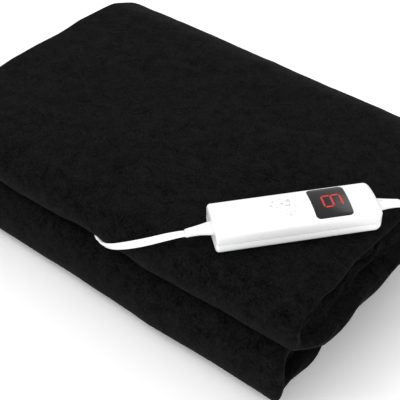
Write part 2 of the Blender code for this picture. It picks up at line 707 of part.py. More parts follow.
def button(parent):
    """Flush round button, its flange and stem in one, with its origin on its own axis."""
    flange_radius = BUTTON_RADIUS + BUTTON_FLANGE_RIM
    roof = arch_height(flange_radius, CASE_WALL)
    flange_top = roof - GAP
    flange_bottom = flange_top - BUTTON_FLANGE
    cap = bmesh.new()
    add_rod(cap, BUTTON_RADIUS, (BUTTON_AT, 0, flange_top - 0.0005), (BUTTON_AT, 0, 0.04),
            sides=32)
    obj = add_object("power_button", cap, WHITE_PLASTIC, parent)
    combine(obj, tool_object(casing_body(0.0), parent), "INTERSECT")
    for radius, low, high in ((flange_radius, flange_bottom, flange_top),
                              (BUTTON_STEM_RADIUS, ACTUATOR_TOP + GAP, flange_bottom + 0.0005)):
        piece = bmesh.new()
        add_rod(piece, radius, (BUTTON_AT, 0, low), (BUTTON_AT, 0, high), sides=32)
        combine(obj, tool_object(piece, parent), "UNION")
    obj.data.transform(Matrix.Translation((-BUTTON_AT, 0, 0)))
    obj.location = (BUTTON_AT, 0, 0)
    smooth(obj)

    board_top = BOARD_HEIGHT + BOARD_THICKNESS
    base = board_top + GAP
    switch = box_object("tact_switch", (SWITCH_SIDE, SWITCH_SIDE, SWITCH_TOP - base),
                        (BUTTON_AT, 0, (SWITCH_TOP + base) / 2), ((0.03, 0.03, 0.03), 0.5),
                        parent)
    bore = bmesh.new()
    add_rod(bore, SWITCH_BORE_RADIUS, (BUTTON_AT, 0, SWITCH_BORE_FLOOR), (BUTTON_AT, 0, 0.03),
            sides=20)
    combine(switch, tool_object(bore, parent), "DIFFERENCE")
    actuator = rod_object("tact_actuator", ACTUATOR_RADIUS,
                          (0, 0, SWITCH_BORE_FLOOR + BUTTON_TRAVEL + GAP), (0, 0, ACTUATOR_TOP),
                          ((0.7, 0.7, 0.7), 0.5), parent)
    actuator.location = (BUTTON_AT, 0, 0)


# ---------------------------------------------------------------- electronics
def electronics(parent):
    board_top = BOARD_HEIGHT + BOARD_THICKNESS
    seat = board_top + GAP
    board = box_object("control_board", (BOARD_LENGTH, BOARD_WIDTH, BOARD_THICKNESS),
                       (0, 0, BOARD_HEIGHT + BOARD_THICKNESS / 2), ((0.05, 0.25, 0.10), 0.5),
                       parent)
    combine(board, screw_rods(SCREW_RADIUS + GAP, 0.0, 0.02, parent), "DIFFERENCE")

    def block(name, size, place, finish):
        box_object(name, size, (place[0], place[1], seat + size[2] / 2), finish, parent)

    block("filter_capacitor", (0.018, 0.0085, 0.0115), (-0.036, 0.0085), ((0.75, 0.55, 0.1), 0.4))
    block("microcontroller", (0.0100, 0.0075, 0.0023), (0.006, 0.0105), BLACK_PLASTIC)
    block("triac", TRIAC_SIZE, TRIAC_PLACE, BLACK_PLASTIC)
    sink_y = TRIAC_PLACE[1] - TRIAC_SIZE[1] / 2 - GAP - HEAT_SINK_SIZE[1] / 2
    block("heat_sink", HEAT_SINK_SIZE, (TRIAC_PLACE[0], sink_y), STEEL)
    fuse_x, fuse_line = FUSE_MIDDLE[0], (FUSE_MIDDLE[1], seat + FUSE_CLIP_SIZE[2])
    rod_object("fuse", FUSE_RADIUS, (fuse_x - FUSE_LENGTH / 2, *fuse_line),
               (fuse_x + FUSE_LENGTH / 2, *fuse_line), ((0.8, 0.85, 0.85), 0.1), parent)
    for number, side in ((1, -1), (2, 1)):
        clip = box_object(f"fuse_clip_{number}", FUSE_CLIP_SIZE,
                          (fuse_x + side * FUSE_CLIP_AT, FUSE_MIDDLE[1],
                           seat + FUSE_CLIP_SIZE[2] / 2), BRASS, parent)
        trough = bmesh.new()
        add_rod(trough, FUSE_RADIUS + GAP, (fuse_x - FUSE_LENGTH, *fuse_line),
                (fuse_x + FUSE_LENGTH, *fuse_line))
        combine(clip, tool_object(trough, parent), "DIFFERENCE")
    for name, side in (("lead_terminal", -1), ("mains_terminal", 1)):
        block(name, TERMINAL_SIZE, (side * TERMINAL_AT, 0), ((0.1, 0.35, 0.2), 0.5))


def neck(name, side, parent):
    """Tapered flat strain relief with a flange inside the casing wall."""
    rings = []
    stations = 7
    start = CASE_LENGTH / 2 - CASE_WALL - GAP - NECK_FLANGE[0] / 2
    taper_start = CASE_LENGTH / 2 + GAP
    xs = [start] + [taper_start + NECK_LENGTH * k / (stations - 1) for k in range(stations)]
    for x in xs:
        t = max(0.0, (x - taper_start) / NECK_LENGTH)
        ease = 1 - (1 - t) ** 2
        width = NECK_ROOT[0] + (NECK_TIP[0] - NECK_ROOT[0]) * ease
        height = NECK_ROOT[1] + (NECK_TIP[1] - NECK_ROOT[1]) * ease
        middle = NECK_HEIGHT - NECK_DROP * t * t
        corner = height * 0.42 if x > taper_start else 0.001
        ring = []
        for cy, cz, turn in ((1, 1, 0), (-1, 1, 90), (-1, -1, 180), (1, -1, 270)):
            for k in range(4):
                a = math.radians(turn + 30 * k)
                ring.append((side * x, cy * (width / 2 - corner) + corner * math.cos(a),
                             middle + cz * (height / 2 - corner) + corner * math.sin(a)))
        rings.append(ring)
    obj = add_object(name, loft(rings), WHITE_PLASTIC, parent)
    flange = bmesh.new()
    add_box(flange, NECK_FLANGE, (side * start, 0, NECK_HEIGHT))
    combine(obj, tool_object(flange, parent), "UNION")
    smooth(obj)


def conductors(kind, side, parent):
    """The cord's two insulated conductors, from the neck's flange to the terminal."""
    outside = CASE_LENGTH / 2 - CASE_WALL - 2 * GAP - NECK_FLANGE[0]
    inside = TERMINAL_AT + TERMINAL_SIZE[0] / 2 + GAP
    terminal_height = BOARD_HEIGHT + BOARD_THICKNESS + GAP + TERMINAL_SIZE[2] / 2
    for number, y in ((1, -CONDUCTOR_SPACING), (2, CONDUCTOR_SPACING)):
        line = [Vector((side * (outside + (inside - outside) * t), y,
                        NECK_HEIGHT + (terminal_height - NECK_HEIGHT) * t * t * (3 - 2 * t)))
                for t in (0, 0.2, 0.4, 0.6, 0.8, 1.0)]
        tube(f"{kind}_conductor_{number}", line, CONDUCTOR_DIAMETER, ((0.3, 0.15, 0.08), 0.5),
             resolution=1, parent=parent)


def controller():
    place = bpy.data.objects.new("controller_place", None)
    place.location = (*CASE_PLACE, CASE_FLOOR)
    place.rotation_euler = (0, 0, CASE_TURN)
    bpy.context.scene.collection.objects.link(place)
    casing_shells(place)
    display(place)
    button(place)
    electronics(place)
    for kind, side in (("lead", -1), ("mains", 1)):
        neck(kind + "_neck", side, place)
        conductors(kind, side, place)


def neck_tip(side, beyond):
    """Point past the tip of a neck, in the part's own frame."""
    reach = side * (CASE_LENGTH / 2 + GAP + NECK_LENGTH + beyond)
    turn = Matrix.Rotation(CASE_TURN, 4, "Z")
    local = turn @ Vector((reach, 0, NECK_HEIGHT - NECK_DROP))
    return local + Vector((*CASE_PLACE, CASE_FLOOR))


# ---------------------------------------------------------------- cords and what is on them
def tapered_relief(name, start, axis, length, radii, finish):
    rings = []
    for k in range(5):
        t = k / 4
        radius = radii[0] + (radii[1] - radii[0]) * t * t
        at = Vector(start) + Vector(axis) * length * t
        side = Vector(axis).cross(Vector((0, 0, 1)))
        rings.append([at + side * radius * math.cos(a) + Vector((0, 0, 1)) * radius * math.sin(a)
                      for a in [2 * math.pi * i / 16 for i in range(16)]])
    return add_object(name, loft(rings), finish)


def connector():
    """Plug and socket that join the lead to the throw, along X inside the spine's hollow."""
    y, z = CONNECTOR_Y, POCKET_MIDDLE
    relief_end = CONNECTOR_START - CONNECTOR_RELIEF
    face = relief_end - CONNECTOR_PLUG
    socket_face = face - GAP
    socket_end = SOCKET_BACK

    plug = tapered_relief("connector_plug", (CONNECTOR_START, y, z), (-1, 0, 0),
                          CONNECTOR_RELIEF + 0.002,
                          (LEAD_DIAMETER / 2 + RELIEF_WALL, RELIEF_END_RADIUS), BLACK_PLASTIC)
    shell = bmesh.new()
    add_box(shell, (CONNECTOR_PLUG, CONNECTOR_WIDTH, CONNECTOR_HEIGHT),
            ((relief_end + face) / 2, y, z))
    combine(plug, tool_object(shell, None), "UNION")
    pivot_x = face + PIVOT_BACK
    pivot_z = z + CONNECTOR_HEIGHT / 2 + LATCH_BARREL + GAP
    for side in (-1, 1):
        ear = bmesh.new()
        add_box(ear, (*EAR_SIZE, 2 * LATCH_BARREL + 0.0022),
                (pivot_x, y + side * (LATCH_WIDTH / 2 + GAP + EAR_SIZE[1] / 2),
                 z + CONNECTOR_HEIGHT / 2 + LATCH_BARREL))
        combine(plug, tool_object(ear, None), "UNION")
    bore = bmesh.new()
    add_rod(bore, LATCH_PIN_RADIUS + GAP, (pivot_x, y - 0.008, pivot_z),
            (pivot_x, y + 0.008, pivot_z), sides=16)
    combine(plug, tool_object(bore, None), "DIFFERENCE")
    for number, side in ((1, -1), (2, 1)):
        py = y + side * PIN_SPACING
        hole = bmesh.new()
        add_rod(hole, PIN_RADIUS + GAP, (face - 0.001, py, z), (face + PIN_SEAT, py, z),
                sides=16)
        combine(plug, tool_object(hole, None), "DIFFERENCE")
        rod_object(f"connector_pin_{number}", PIN_RADIUS, (face + PIN_SEAT - GAP, py, z),
                   (face - PIN_REACH, py, z), BRASS, sides=16)

    pin_half = LATCH_WIDTH / 2 + EAR_SIZE[1] + 0.0002
    rod_object("latch_pin", LATCH_PIN_RADIUS, (pivot_x, y - pin_half, pivot_z),
               (pivot_x, y + pin_half, pivot_z), STEEL, sides=16)

    hook_x = socket_face - CATCH_PLACE
    lever_ends = (hook_x - LATCH_HOOK, pivot_x + LATCH_TAIL)
    lever = bmesh.new()
    add_box(lever, (lever_ends[1] - lever_ends[0], LATCH_WIDTH, LATCH_THICKNESS),
            (sum(lever_ends) / 2, y, pivot_z))
    latch = add_object("connector_latch", lever, BLACK_PLASTIC)
    barrel = bmesh.new()
    add_rod(barrel, LATCH_BARREL, (pivot_x, y - LATCH_WIDTH / 2, pivot_z),
            (pivot_x, y + LATCH_WIDTH / 2, pivot_z), sides=20)
    combine(latch, tool_object(barrel, None), "UNION")
    hook = bmesh.new()
    hook_low = z + CONNECTOR_HEIGHT / 2 + GAP
    add_box(hook, (LATCH_HOOK, LATCH_WIDTH, pivot_z - hook_low),
            (hook_x - LATCH_HOOK / 2, y, (pivot_z + hook_low) / 2))
    combine(latch, tool_object(hook, None), "UNION")
    eye = bmesh.new()
    add_rod(eye, LATCH_PIN_RADIUS + GAP, (pivot_x, y - 0.008, pivot_z),
            (pivot_x, y + 0.008, pivot_z), sides=16)
    combine(latch, tool_object(eye, None), "DIFFERENCE")
    origin = Vector((pivot_x, y, pivot_z))
    latch.data.transform(Matrix.Translation(-origin))
    latch.location = origin

    socket = box_object("connector_socket", (CONNECTOR_SOCKET, CONNECTOR_WIDTH, CONNECTOR_HEIGHT),
                        ((socket_face + socket_end) / 2, y, z), BLACK_PLASTIC)
    catch = bmesh.new()
    add_box(catch, (CATCH_LENGTH, LATCH_WIDTH + 0.002, CATCH_HEIGHT + 0.0005),
            (hook_x + GAP + CATCH_LENGTH / 2, y,
             z + (CONNECTOR_HEIGHT + CATCH_HEIGHT - 0.0005) / 2))
    combine(socket, tool_object(catch, None), "UNION")
    contact_outer = PIN_RADIUS + GAP + CONTACT_WALL
    contact_end = socket_face - CONTACT_DEPTH
    for number, side in ((1, -1), (2, 1)):
        py = y + side * PIN_SPACING
        for radius, start, end in ((contact_outer + GAP, socket_face + 0.001, contact_end - GAP),
                                   (WIRE_DIAMETER / 2 + GAP, contact_end, socket_end - 0.001)):
            cavity = bmesh.new()
            add_rod(cavity, radius, (start, py, z), (end, py, z), sides=16)
            combine(socket, tool_object(cavity, None), "DIFFERENCE")
        contact = rod_object(f"socket_contact_{number}", contact_outer,
                             (socket_face - GAP, py, z), (contact_end, py, z), BRASS,
                             sides=16)
        inside = bmesh.new()
        add_rod(inside, PIN_RADIUS + GAP, (socket_face + 0.001, py, z),
                (contact_end + 0.0006, py, z), sides=16)
        combine(contact, tool_object(inside, None), "DIFFERENCE")


def lead_cord():
    end = Vector((CONNECTOR_START + GAP, CONNECTOR_Y, POCKET_MIDDLE))
    route = [neck_tip(-1, GAP)] + LEAD_ROUTE + [end]
    tube("lead_cord", smooth_route(route, LEAD_DIAMETER * 2.0), LEAD_DIAMETER,
         WHITE_PLASTIC)


def mains_cords():
    outer_row = COIL_MIDDLE[0] - COIL_OUTER + MAINS_DIAMETER / 2
    inner_side = COIL_OUTER - MAINS_DIAMETER
    meet = math.sqrt(COIL_OUTER ** 2 - inner_side ** 2) + GAP
    start = Vector((outer_row, COIL_MIDDLE[1] - meet, COIL_BASE + MAINS_DIAMETER / 2))
    route = [neck_tip(1, GAP)] + MAINS_ROUTE + [start]
    tube("mains_cord", smooth_route(route, MAINS_DIAMETER * 2.0), MAINS_DIAMETER, WHITE_PLASTIC)
    leave = Vector((outer_row, COIL_MIDDLE[1] + meet, COIL_TOP - MAINS_DIAMETER / 2))
    end = Vector(PLUG_START) - Vector((0, 1.5 * GAP, 0))
    tube("mains_cord_tail", smooth_route([leave] + TAIL_ROUTE + [end], MAINS_DIAMETER * 2.0),
         MAINS_DIAMETER, WHITE_PLASTIC)

    bm = bmesh.new()
    profile = [(COIL_INNER + 0.0015, COIL_BASE), (COIL_OUTER - 0.0015, COIL_BASE),
               (COIL_OUTER, COIL_BASE + 0.0015), (COIL_OUTER, COIL_TOP - 0.0015),
               (COIL_OUTER - 0.0015, COIL_TOP), (COIL_INNER + 0.0015, COIL_TOP),
               (COIL_INNER, COIL_TOP - 0.0015), (COIL_INNER, COIL_BASE + 0.0015)]
    sides = 40
    loops = []
    for k in range(sides):
        a = 2 * math.pi * k / sides
        loops.append([bm.verts.new((COIL_MIDDLE[0] + r * math.cos(a),
                                    COIL_MIDDLE[1] + r * math.sin(a), z)) for r, z in profile])
    for k in range(sides):
        here, there = loops[k], loops[(k + 1) % sides]
        for i in range(len(profile)):
            j = (i + 1) % len(profile)
            bm.faces.new((here[i], here[j], there[j], there[i]))
    smooth(add_object("mains_coil", bm, WHITE_PLASTIC))
    coil_tie()


def coil_tie():
    """Strap around the coil's bundle, on the side away from the throw."""
    inner = COIL_INNER - GAP - TIE_THICKNESS - 0.001
    outer = COIL_OUTER + GAP + TIE_THICKNESS
    low, high = COIL_BASE - GAP - TIE_THICKNESS, COIL_TOP + GAP + TIE_THICKNESS
    middle = COIL_MIDDLE[0] + (inner + outer) / 2
    strap = box_object("coil_tie", (outer - inner, TIE_WIDTH, high - low),
                       (middle, COIL_MIDDLE[1], (low + high) / 2), ((0.03, 0.03, 0.03), 0.6))
    hollow = bmesh.new()
    add_box(hollow, (outer - inner - 2 * TIE_THICKNESS, TIE_WIDTH + 0.01,
                     high - low - 2 * TIE_THICKNESS), (middle, COIL_MIDDLE[1], (low + high) / 2))
    combine(strap, tool_object(hollow, None), "DIFFERENCE")


def mains_plug():
    """Two-pin plug lying beside the coil."""
    body = tapered_relief("mains_plug", PLUG_START, (0, 1, 0), PLUG_RELIEF + 0.002,
                          (MAINS_DIAMETER / 2 + RELIEF_WALL, PLUG_NOSE[1] / 2), WHITE_PLASTIC)
    y_low = PLUG_START[1] + PLUG_RELIEF
    outline_rings = []
    for y, w, h in ((y_low, *PLUG_NOSE), (y_low + PLUG_SHOULDER, PLUG_WIDTH, PLUG_HEIGHT),
                    (y_low + PLUG_LENGTH, PLUG_WIDTH, PLUG_HEIGHT)):
        outline_rings.append([(PLUG_START[0] + sx * w / 2, y, PLUG_START[2] + sz * h / 2)
                              for sx, sz in ((-1, -1), (1, -1), (1, 1), (-1, 1))])
    combine(body, tool_object(loft(outline_rings), None), "UNION")
    face = y_low + PLUG_LENGTH
    for number, side in ((1, -1), (2, 1)):
        x = PLUG_START[0] + side * PLUG_PIN_SPACING
        hole = bmesh.new()
        add_rod(hole, PLUG_PIN_RADIUS + GAP, (x, face - PLUG_PIN_SEAT, PLUG_START[2]),
                (x, face + 0.001, PLUG_START[2]), sides=16)
        combine(body, tool_object(hole, None), "DIFFERENCE")
        rod_object(f"mains_plug_pin_{number}", PLUG_PIN_RADIUS,
                   (x, face - PLUG_PIN_SEAT + GAP, PLUG_START[2]),
                   (x, face + PLUG_PIN_LENGTH, PLUG_START[2]), BRASS, sides=16)


# ---------------------------------------------------------------- build
def main():
    for obj in list(bpy.data.objects):
        bpy.data.objects.remove(obj)
    folded_throw()
    controller()
    connector()
    lead_cord()
    mains_cords()
    mains_plug()


main()
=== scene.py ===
"""Finished look of the folded heated throw, its hand controller and its cords.

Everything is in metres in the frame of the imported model: +X along the fold, +Y to the
spine, +Z up, with the origin under the middle of the folded throw.
"""
import json
import math

import bmesh
import bpy
from mathutils import Matrix, Vector, noise

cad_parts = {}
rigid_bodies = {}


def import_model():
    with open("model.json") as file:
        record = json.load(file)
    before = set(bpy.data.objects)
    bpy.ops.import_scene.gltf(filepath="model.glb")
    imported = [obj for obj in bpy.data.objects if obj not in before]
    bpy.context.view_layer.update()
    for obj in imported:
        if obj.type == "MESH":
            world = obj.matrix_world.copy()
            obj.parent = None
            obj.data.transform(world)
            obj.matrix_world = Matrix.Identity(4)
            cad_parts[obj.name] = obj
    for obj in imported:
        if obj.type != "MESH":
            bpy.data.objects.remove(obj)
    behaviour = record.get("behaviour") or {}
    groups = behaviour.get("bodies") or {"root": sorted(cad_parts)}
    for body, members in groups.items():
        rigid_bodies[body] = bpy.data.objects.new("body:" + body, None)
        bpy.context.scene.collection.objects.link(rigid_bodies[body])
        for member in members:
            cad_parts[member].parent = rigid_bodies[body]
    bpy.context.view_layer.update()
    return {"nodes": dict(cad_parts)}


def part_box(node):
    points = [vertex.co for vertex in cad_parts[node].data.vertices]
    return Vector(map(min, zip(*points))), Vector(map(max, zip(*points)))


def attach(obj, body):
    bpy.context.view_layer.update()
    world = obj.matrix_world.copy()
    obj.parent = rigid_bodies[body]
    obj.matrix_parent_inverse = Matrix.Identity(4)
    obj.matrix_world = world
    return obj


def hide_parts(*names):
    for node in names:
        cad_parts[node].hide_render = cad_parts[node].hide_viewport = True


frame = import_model()
nodes = frame["nodes"]

# ---------------------------------------------------------------- sizes
THROW_LOW, THROW_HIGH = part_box("cover_outer")
HALF_LENGTH = THROW_HIGH.x
FRONT, BACK = THROW_LOW.y, THROW_HIGH.y
TOP = THROW_HIGH.z
POCKET_FLOOR = 0.0615
POCKET_ROOF = 0.0680
LOWER_MIDDLE = POCKET_FLOOR / 2
UPPER_MIDDLE = (POCKET_ROOF + TOP) / 2
LOWER_REACH = 0.026
UPPER_REACH = (TOP - POCKET_ROOF) / 2
SPINE_START = BACK - 0.048
SPINE_HOLLOW = 0.024
LEAF_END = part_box("edge_binding_lower")[0].y - 0.0003
LOWER_END_SHORT = 0.0175
LOWER_END_SKEW = 0.125

CASE_LENGTH = 0.1465
CASE_WIDTH = 0.0435
CASE_HEIGHT = 0.0240
CASE_WALL = 0.0022
CASE_SPLIT = 0.010
CASE_PLACE = Vector((0.1618, -0.0663, TOP + 0.0003))
CASE_TURN = math.radians(50.6)
ARCH_RADIUS = 0.080
ARCH_HALF = 0.0190
FLANK_TOP = 0.0165
BOTTOM_RADIUS = 0.005
LEAD_END_RADIUS = 0.003
MAINS_END_RADIUS = 0.007
WINDOW = {"at": 0.0305, "length": 0.0330, "width": 0.0380, "corner": 0.004}
BUTTON_AT = -0.011
BUTTON_RADIUS = 0.0112
NECK_HEIGHT = 0.0115
NECK_LENGTH = 0.0225
NECK_DROP = 0.0020
NECK_ROOT = (0.0140, 0.0075)
NECK_TIP = (0.0076, 0.0056)
DIGIT_AT = 0.0325
DIGIT_LENGTH = 0.0182
DIGIT_WIDTH = 0.0158
DIGIT_STROKE = 0.0020
SEAM = 0.0003
SCREW_AT = (0.0555, 0.0138)
SMOOTH_ANGLE = 40

LEAD_WIDTH = 0.0068
LEAD_THICKNESS = 0.0036
VALLEY_DEPTH, VALLEY_WIDTH = 0.24, 0.28
MAINS_DIAMETER = 0.006
COIL_MIDDLE = (0.3005, 0.135)
COIL_BASE = 0.0015
COIL_RADII = (0.027, 0.033, 0.039)

CAMERA_PLACE = (0.50404, -0.62132, 0.69566)
CAMERA_TILT, CAMERA_TURN = 90 - 40.639, 38.806
CAMERA_LENS = 90.64

CASE_FRAME = Matrix.Translation(CASE_PLACE) @ Matrix.Rotation(CASE_TURN, 4, "Z")


# ---------------------------------------------------------------- mesh helpers
def link(obj):
    bpy.context.scene.collection.objects.link(obj)
    return obj


def smooth_faces(mesh, angle=SMOOTH_ANGLE):
    mesh.shade_smooth()
    mesh.set_sharp_from_angle(angle=math.radians(angle))


def mesh_object(name, bm, finish=None, smooth_angle=None):
    mesh = bpy.data.meshes.new(name)
    bm.to_mesh(mesh)
    bm.free()
    obj = link(bpy.data.objects.new(name, mesh))
    if finish:
        mesh.materials.append(finish)
    if smooth_angle is not None:
        smooth_faces(mesh, smooth_angle)
    return obj


def loft(rings, closed_ends=True):
    """Surface through rings with the same number of points."""
    bm = bmesh.new()
    loops = [[bm.verts.new(point) for point in ring] for ring in rings]
    count = len(rings[0])
    for low, high in zip(loops, loops[1:]):
        for i in range(count):
            j = (i + 1) % count
            bm.faces.new((low[i], low[j], high[j], high[i]))
    if closed_ends:
        bm.faces.new(list(reversed(loops[0])))
        bm.faces.new(loops[-1])
    bmesh.ops.recalc_face_normals(bm, faces=bm.faces)
    return bm


def evaluated_mesh(obj):
    bpy.context.view_layer.update()
    graph = bpy.context.evaluated_depsgraph_get()
    return bpy.data.meshes.new_from_object(obj.evaluated_get(graph))


def plain_mesh(obj):
    """Turn an object with modifiers into a plain mesh and clear its modifiers."""
    result = evaluated_mesh(obj)
    obj.modifiers.clear()
    old = obj.data
    obj.data = result
    bpy.data.meshes.remove(old)
    result.name = obj.name
    return obj


def combine(obj, tool, operation):
    step = obj.modifiers.new(operation, "BOOLEAN")
    step.operation = operation
    step.object = tool
    plain_mesh(obj)
    bpy.data.objects.remove(tool)


def tool(bm):
    return mesh_object("tool", bm)


def place(obj, matrix):
    obj.data.transform(matrix)
    obj.data.update()
    return obj


def soften(obj, width, segments=2, angle=35):
    """Round an object's sharp edges and smooth its faces."""
    bevel = obj.modifiers.new("rounding", "BEVEL")
    bevel.width = width
    bevel.segments = segments
    bevel.limit_method = "ANGLE"
    bevel.angle_limit = math.radians(angle)
    bevel.harden_normals = False
    plain_mesh(obj)
    smooth_faces(obj.data)
    return obj


def stand_for(obj, slot, *replaced, body="throw"):
    """Ride a piece on its body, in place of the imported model's nodes."""
    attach(obj, body)
    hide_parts(*replaced)


def smoothstep(t):
    t = min(max(t, 0.0), 1.0)
    return t * t * (3 - 2 * t)


def squarish(angle, y_reach, z_reach, y_power, z_power):
    """Point of a rounded oblong around the origin."""
    c, s = math.cos(angle), math.sin(angle)
    return (y_reach * math.copysign(abs(c) ** y_power, c),
            z_reach * math.copysign(abs(s) ** z_power, s))


def smooth_route(points, step):
    """Evenly spaced points on a smooth curve through the route's own points."""
    points = [Vector(p) for p in points]
    fine = []
    for i in range(len(points) - 1):
        before, start = points[max(i - 1, 0)], points[i]
        end, after = points[i + 1], points[min(i + 2, len(points) - 1)]
        for k in range(24):
            t = k / 24
            fine.append(0.5 * (2 * start + (end - before) * t
                               + (2 * before - 5 * start + 4 * end - after) * t * t
                               + (3 * start - before - 3 * end + after) * t ** 3))
    fine.append(points[-1])
    lengths = [0.0]
    for a, b in zip(fine, fine[1:]):
        lengths.append(lengths[-1] + (b - a).length)
    count = max(2, round(lengths[-1] / step))
    result, at = [], 0
    for k in range(count + 1):
        target = lengths[-1] * k / count
        while at < len(lengths) - 2 and lengths[at + 1] < target:
            at += 1
        part = (target - lengths[at]) / (lengths[at + 1] - lengths[at])
        result.append(fine[at].lerp(fine[at + 1], min(part, 1.0)))
    return result


# ---------------------------------------------------------------- shader groups
LOOK = [("Colour", "NodeSocketColor"), ("Roughness", "NodeSocketFloat"),
        ("Height", "NodeSocketFloat")]


def new_group(name, inputs, outputs=LOOK):
    """Empty shader group with named sockets: inputs hold (name, default)."""
    group = bpy.data.node_groups.new(name, "ShaderNodeTree")
    for label, default in inputs:
        kind = "NodeSocketColor" if isinstance(default, tuple) else "NodeSocketFloat"
        socket = group.interface.new_socket(label, in_out="INPUT", socket_type=kind)
        socket.default_value = default
    for label, kind in outputs:
        group.interface.new_socket(label, in_out="OUTPUT", socket_type=kind)
    start = group.nodes.new("NodeGroupInput")
    end = group.nodes.new("NodeGroupOutput")
    return group, start, end


class Maker:
    """Adds nodes to a tree and links their inputs in one call."""

    def __init__(self, tree):
        self.tree = tree

    def node(self, kind, settings=None, **inputs):
        made = self.tree.nodes.new(kind)
        for key, value in (settings or {}).items():
            setattr(made, key, value)
        for label, value in inputs.items():
            slot = label.replace("_", " ")
            self.feed(made.inputs[int(slot[1:])] if slot[0] == "i" and slot[1:].isdigit()
                      else made.inputs[slot], value)
        return made

    def feed(self, socket, value):
        if isinstance(value, bpy.types.NodeSocket):
            self.tree.links.new(value, socket)
        else:
            socket.default_value = value

    def math(self, operation, a, b=0.0, clamp=False):
        made = self.node("ShaderNodeMath", {"operation": operation, "use_clamp": clamp},
                         i0=a, i1=b)
        return made.outputs[0]

    def weighted(self, *terms):
        """Sum of values, each times its weight."""
        parts = [self.math("MULTIPLY", value, weight) for value, weight in terms]
        total = parts.pop()
        while parts:
            total = self.math("ADD", parts.pop(), total)
        return total

    def mix(self, factor, a, b):
        made = self.tree.nodes.new("ShaderNodeMix")
        made.data_type = "RGBA"
        self.feed(made.inputs["Factor"], factor)
        self.feed(made.inputs[6], a)
        self.feed(made.inputs[7], b)
        return made.outputs[2]

    def noise(self, vector, scale, detail=2.0, roughness=0.5, distortion=0.0):
        made = self.node("ShaderNodeTexNoise", Vector=vector, Scale=scale, Detail=detail,
                         Roughness=roughness, Distortion=distortion)
        return made.outputs["Fac"]

    def span(self, value, low, high, to_low=0.0, to_high=1.0):
        made = self.node("ShaderNodeMapRange", Value=value)
        made.inputs["From Min"].default_value = low
        made.inputs["From Max"].default_value = high
        self.feed(made.inputs["To Min"], to_low)
        self.feed(made.inputs["To Max"], to_high)
        return made.outputs["Result"]

    def stretched(self, vector, scale):
        made = self.node("ShaderNodeMapping", Vector=vector)
        made.inputs["Scale"].default_value = scale
        return made.outputs["Vector"]

    def objects(self):
        return self.tree.nodes.new("ShaderNodeTexCoord").outputs["Object"]


def plush_group():
    """Nap of a short pile: clumps of fibre, brushed patches and their height."""
    group, start, end = new_group(
        "plush_nap", [("Colour", (0.01, 0.01, 0.011, 1.0)),
                      ("Tip Colour", (0.03, 0.03, 0.03, 1.0)),
                      ("Clump Size", 0.0021), ("Patch Size", 0.035)])
    m = Maker(group)
    where = m.objects()
    fine_scale = m.math("DIVIDE", 1.0, start.outputs["Clump Size"])
    patch_scale = m.math("DIVIDE", 1.0, start.outputs["Patch Size"])
    clumps = m.noise(where, fine_scale, 3.0, 0.65)
    middle = m.noise(where, m.math("MULTIPLY", fine_scale, 0.22), 2.0, 0.6, 0.6)
    patches = m.noise(m.stretched(where, (1.0, 0.55, 1.0)), patch_scale, 3.0, 0.6, 1.2)
    shade = m.weighted((clumps, 0.55), (middle, 0.30), (patches, 0.15))
    wandering = m.noise(m.stretched(where, (1.0, 0.7, 1.0)), 11.0, 2.0, 0.45, 0.8)
    crease = m.span(m.math("ABSOLUTE", m.math("SUBTRACT", wandering, 0.5)), 0.0, 0.009)
    broken = m.span(m.noise(where, 17.0, 2.0, 0.5), 0.50, 0.62)
    smooth_nap = m.math("MAXIMUM", crease, m.math("SUBTRACT", 1.0, broken))
    tips = m.math("MULTIPLY", m.span(shade, 0.38, 0.62),
                  m.span(smooth_nap, 0.0, 1.0, 0.55, 1.0))
    m.feed(end.inputs["Colour"], m.mix(tips, start.outputs["Colour"],
                                       start.outputs["Tip Colour"]))
    m.feed(end.inputs["Roughness"], m.span(patches, 0.3, 0.7, 0.86, 0.98))
    m.feed(end.inputs["Height"], m.weighted((clumps, 0.45), (middle, 0.45), (patches, 0.45),
                                            (smooth_nap, 0.5)))
    return group


def moulded_group():
    """Fine spark-eroded grain, faint flow marks and handling dirt of moulded plastic."""
    group, start, end = new_group(
        "moulded_grain", [("Colour", (0.8, 0.8, 0.8, 1.0)),
                          ("Soil Colour", (0.7, 0.7, 0.68, 1.0)),
                          ("Soil", 0.15), ("Grain Size", 0.0004), ("Roughness Low", 0.3),
                          ("Roughness High", 0.42)])
    m = Maker(group)
    where = m.objects()
    grain = m.noise(where, m.math("DIVIDE", 1.0, start.outputs["Grain Size"]), 2.0, 0.5)
    clouds = m.noise(where, 45.0, 3.0, 0.6, 0.4)
    specks = m.span(m.noise(where, 620.0, 1.0, 0.4), 0.70, 0.78)
    soil = m.math("MULTIPLY", m.math("ADD", m.span(clouds, 0.45, 0.75),
                                     m.math("MULTIPLY", specks, 0.35)),
                  start.outputs["Soil"], clamp=True)
    m.feed(end.inputs["Colour"], m.mix(soil, start.outputs["Colour"],
                                       start.outputs["Soil Colour"]))
    m.feed(end.inputs["Roughness"], m.span(clouds, 0.3, 0.7, start.outputs["Roughness Low"],
                                           start.outputs["Roughness High"]))
    m.feed(end.inputs["Height"], grain)
    return group


def marks_group():
    """Small rubbed marks scattered inside a circle."""
    group, start, end = new_group(
        "rubbed_marks", [("Distance", 1.0), ("Reach", 0.012), ("Mark Size", 0.003)],
        [("Marks", "NodeSocketFloat")])
    m = Maker(group)
    where = m.objects()
    patches = m.noise(where, m.math("DIVIDE", 1.0, start.outputs["Mark Size"]), 2.0, 0.5, 0.6)
    inside = m.math("SUBTRACT", 1.0, m.math("DIVIDE", start.outputs["Distance"],
                                            start.outputs["Reach"]), clamp=True)
    spots = m.math("MULTIPLY", m.span(patches, 0.60, 0.68),
                   m.span(inside, 0.0, 0.35))
    m.feed(end.inputs["Marks"], spots)
    return group


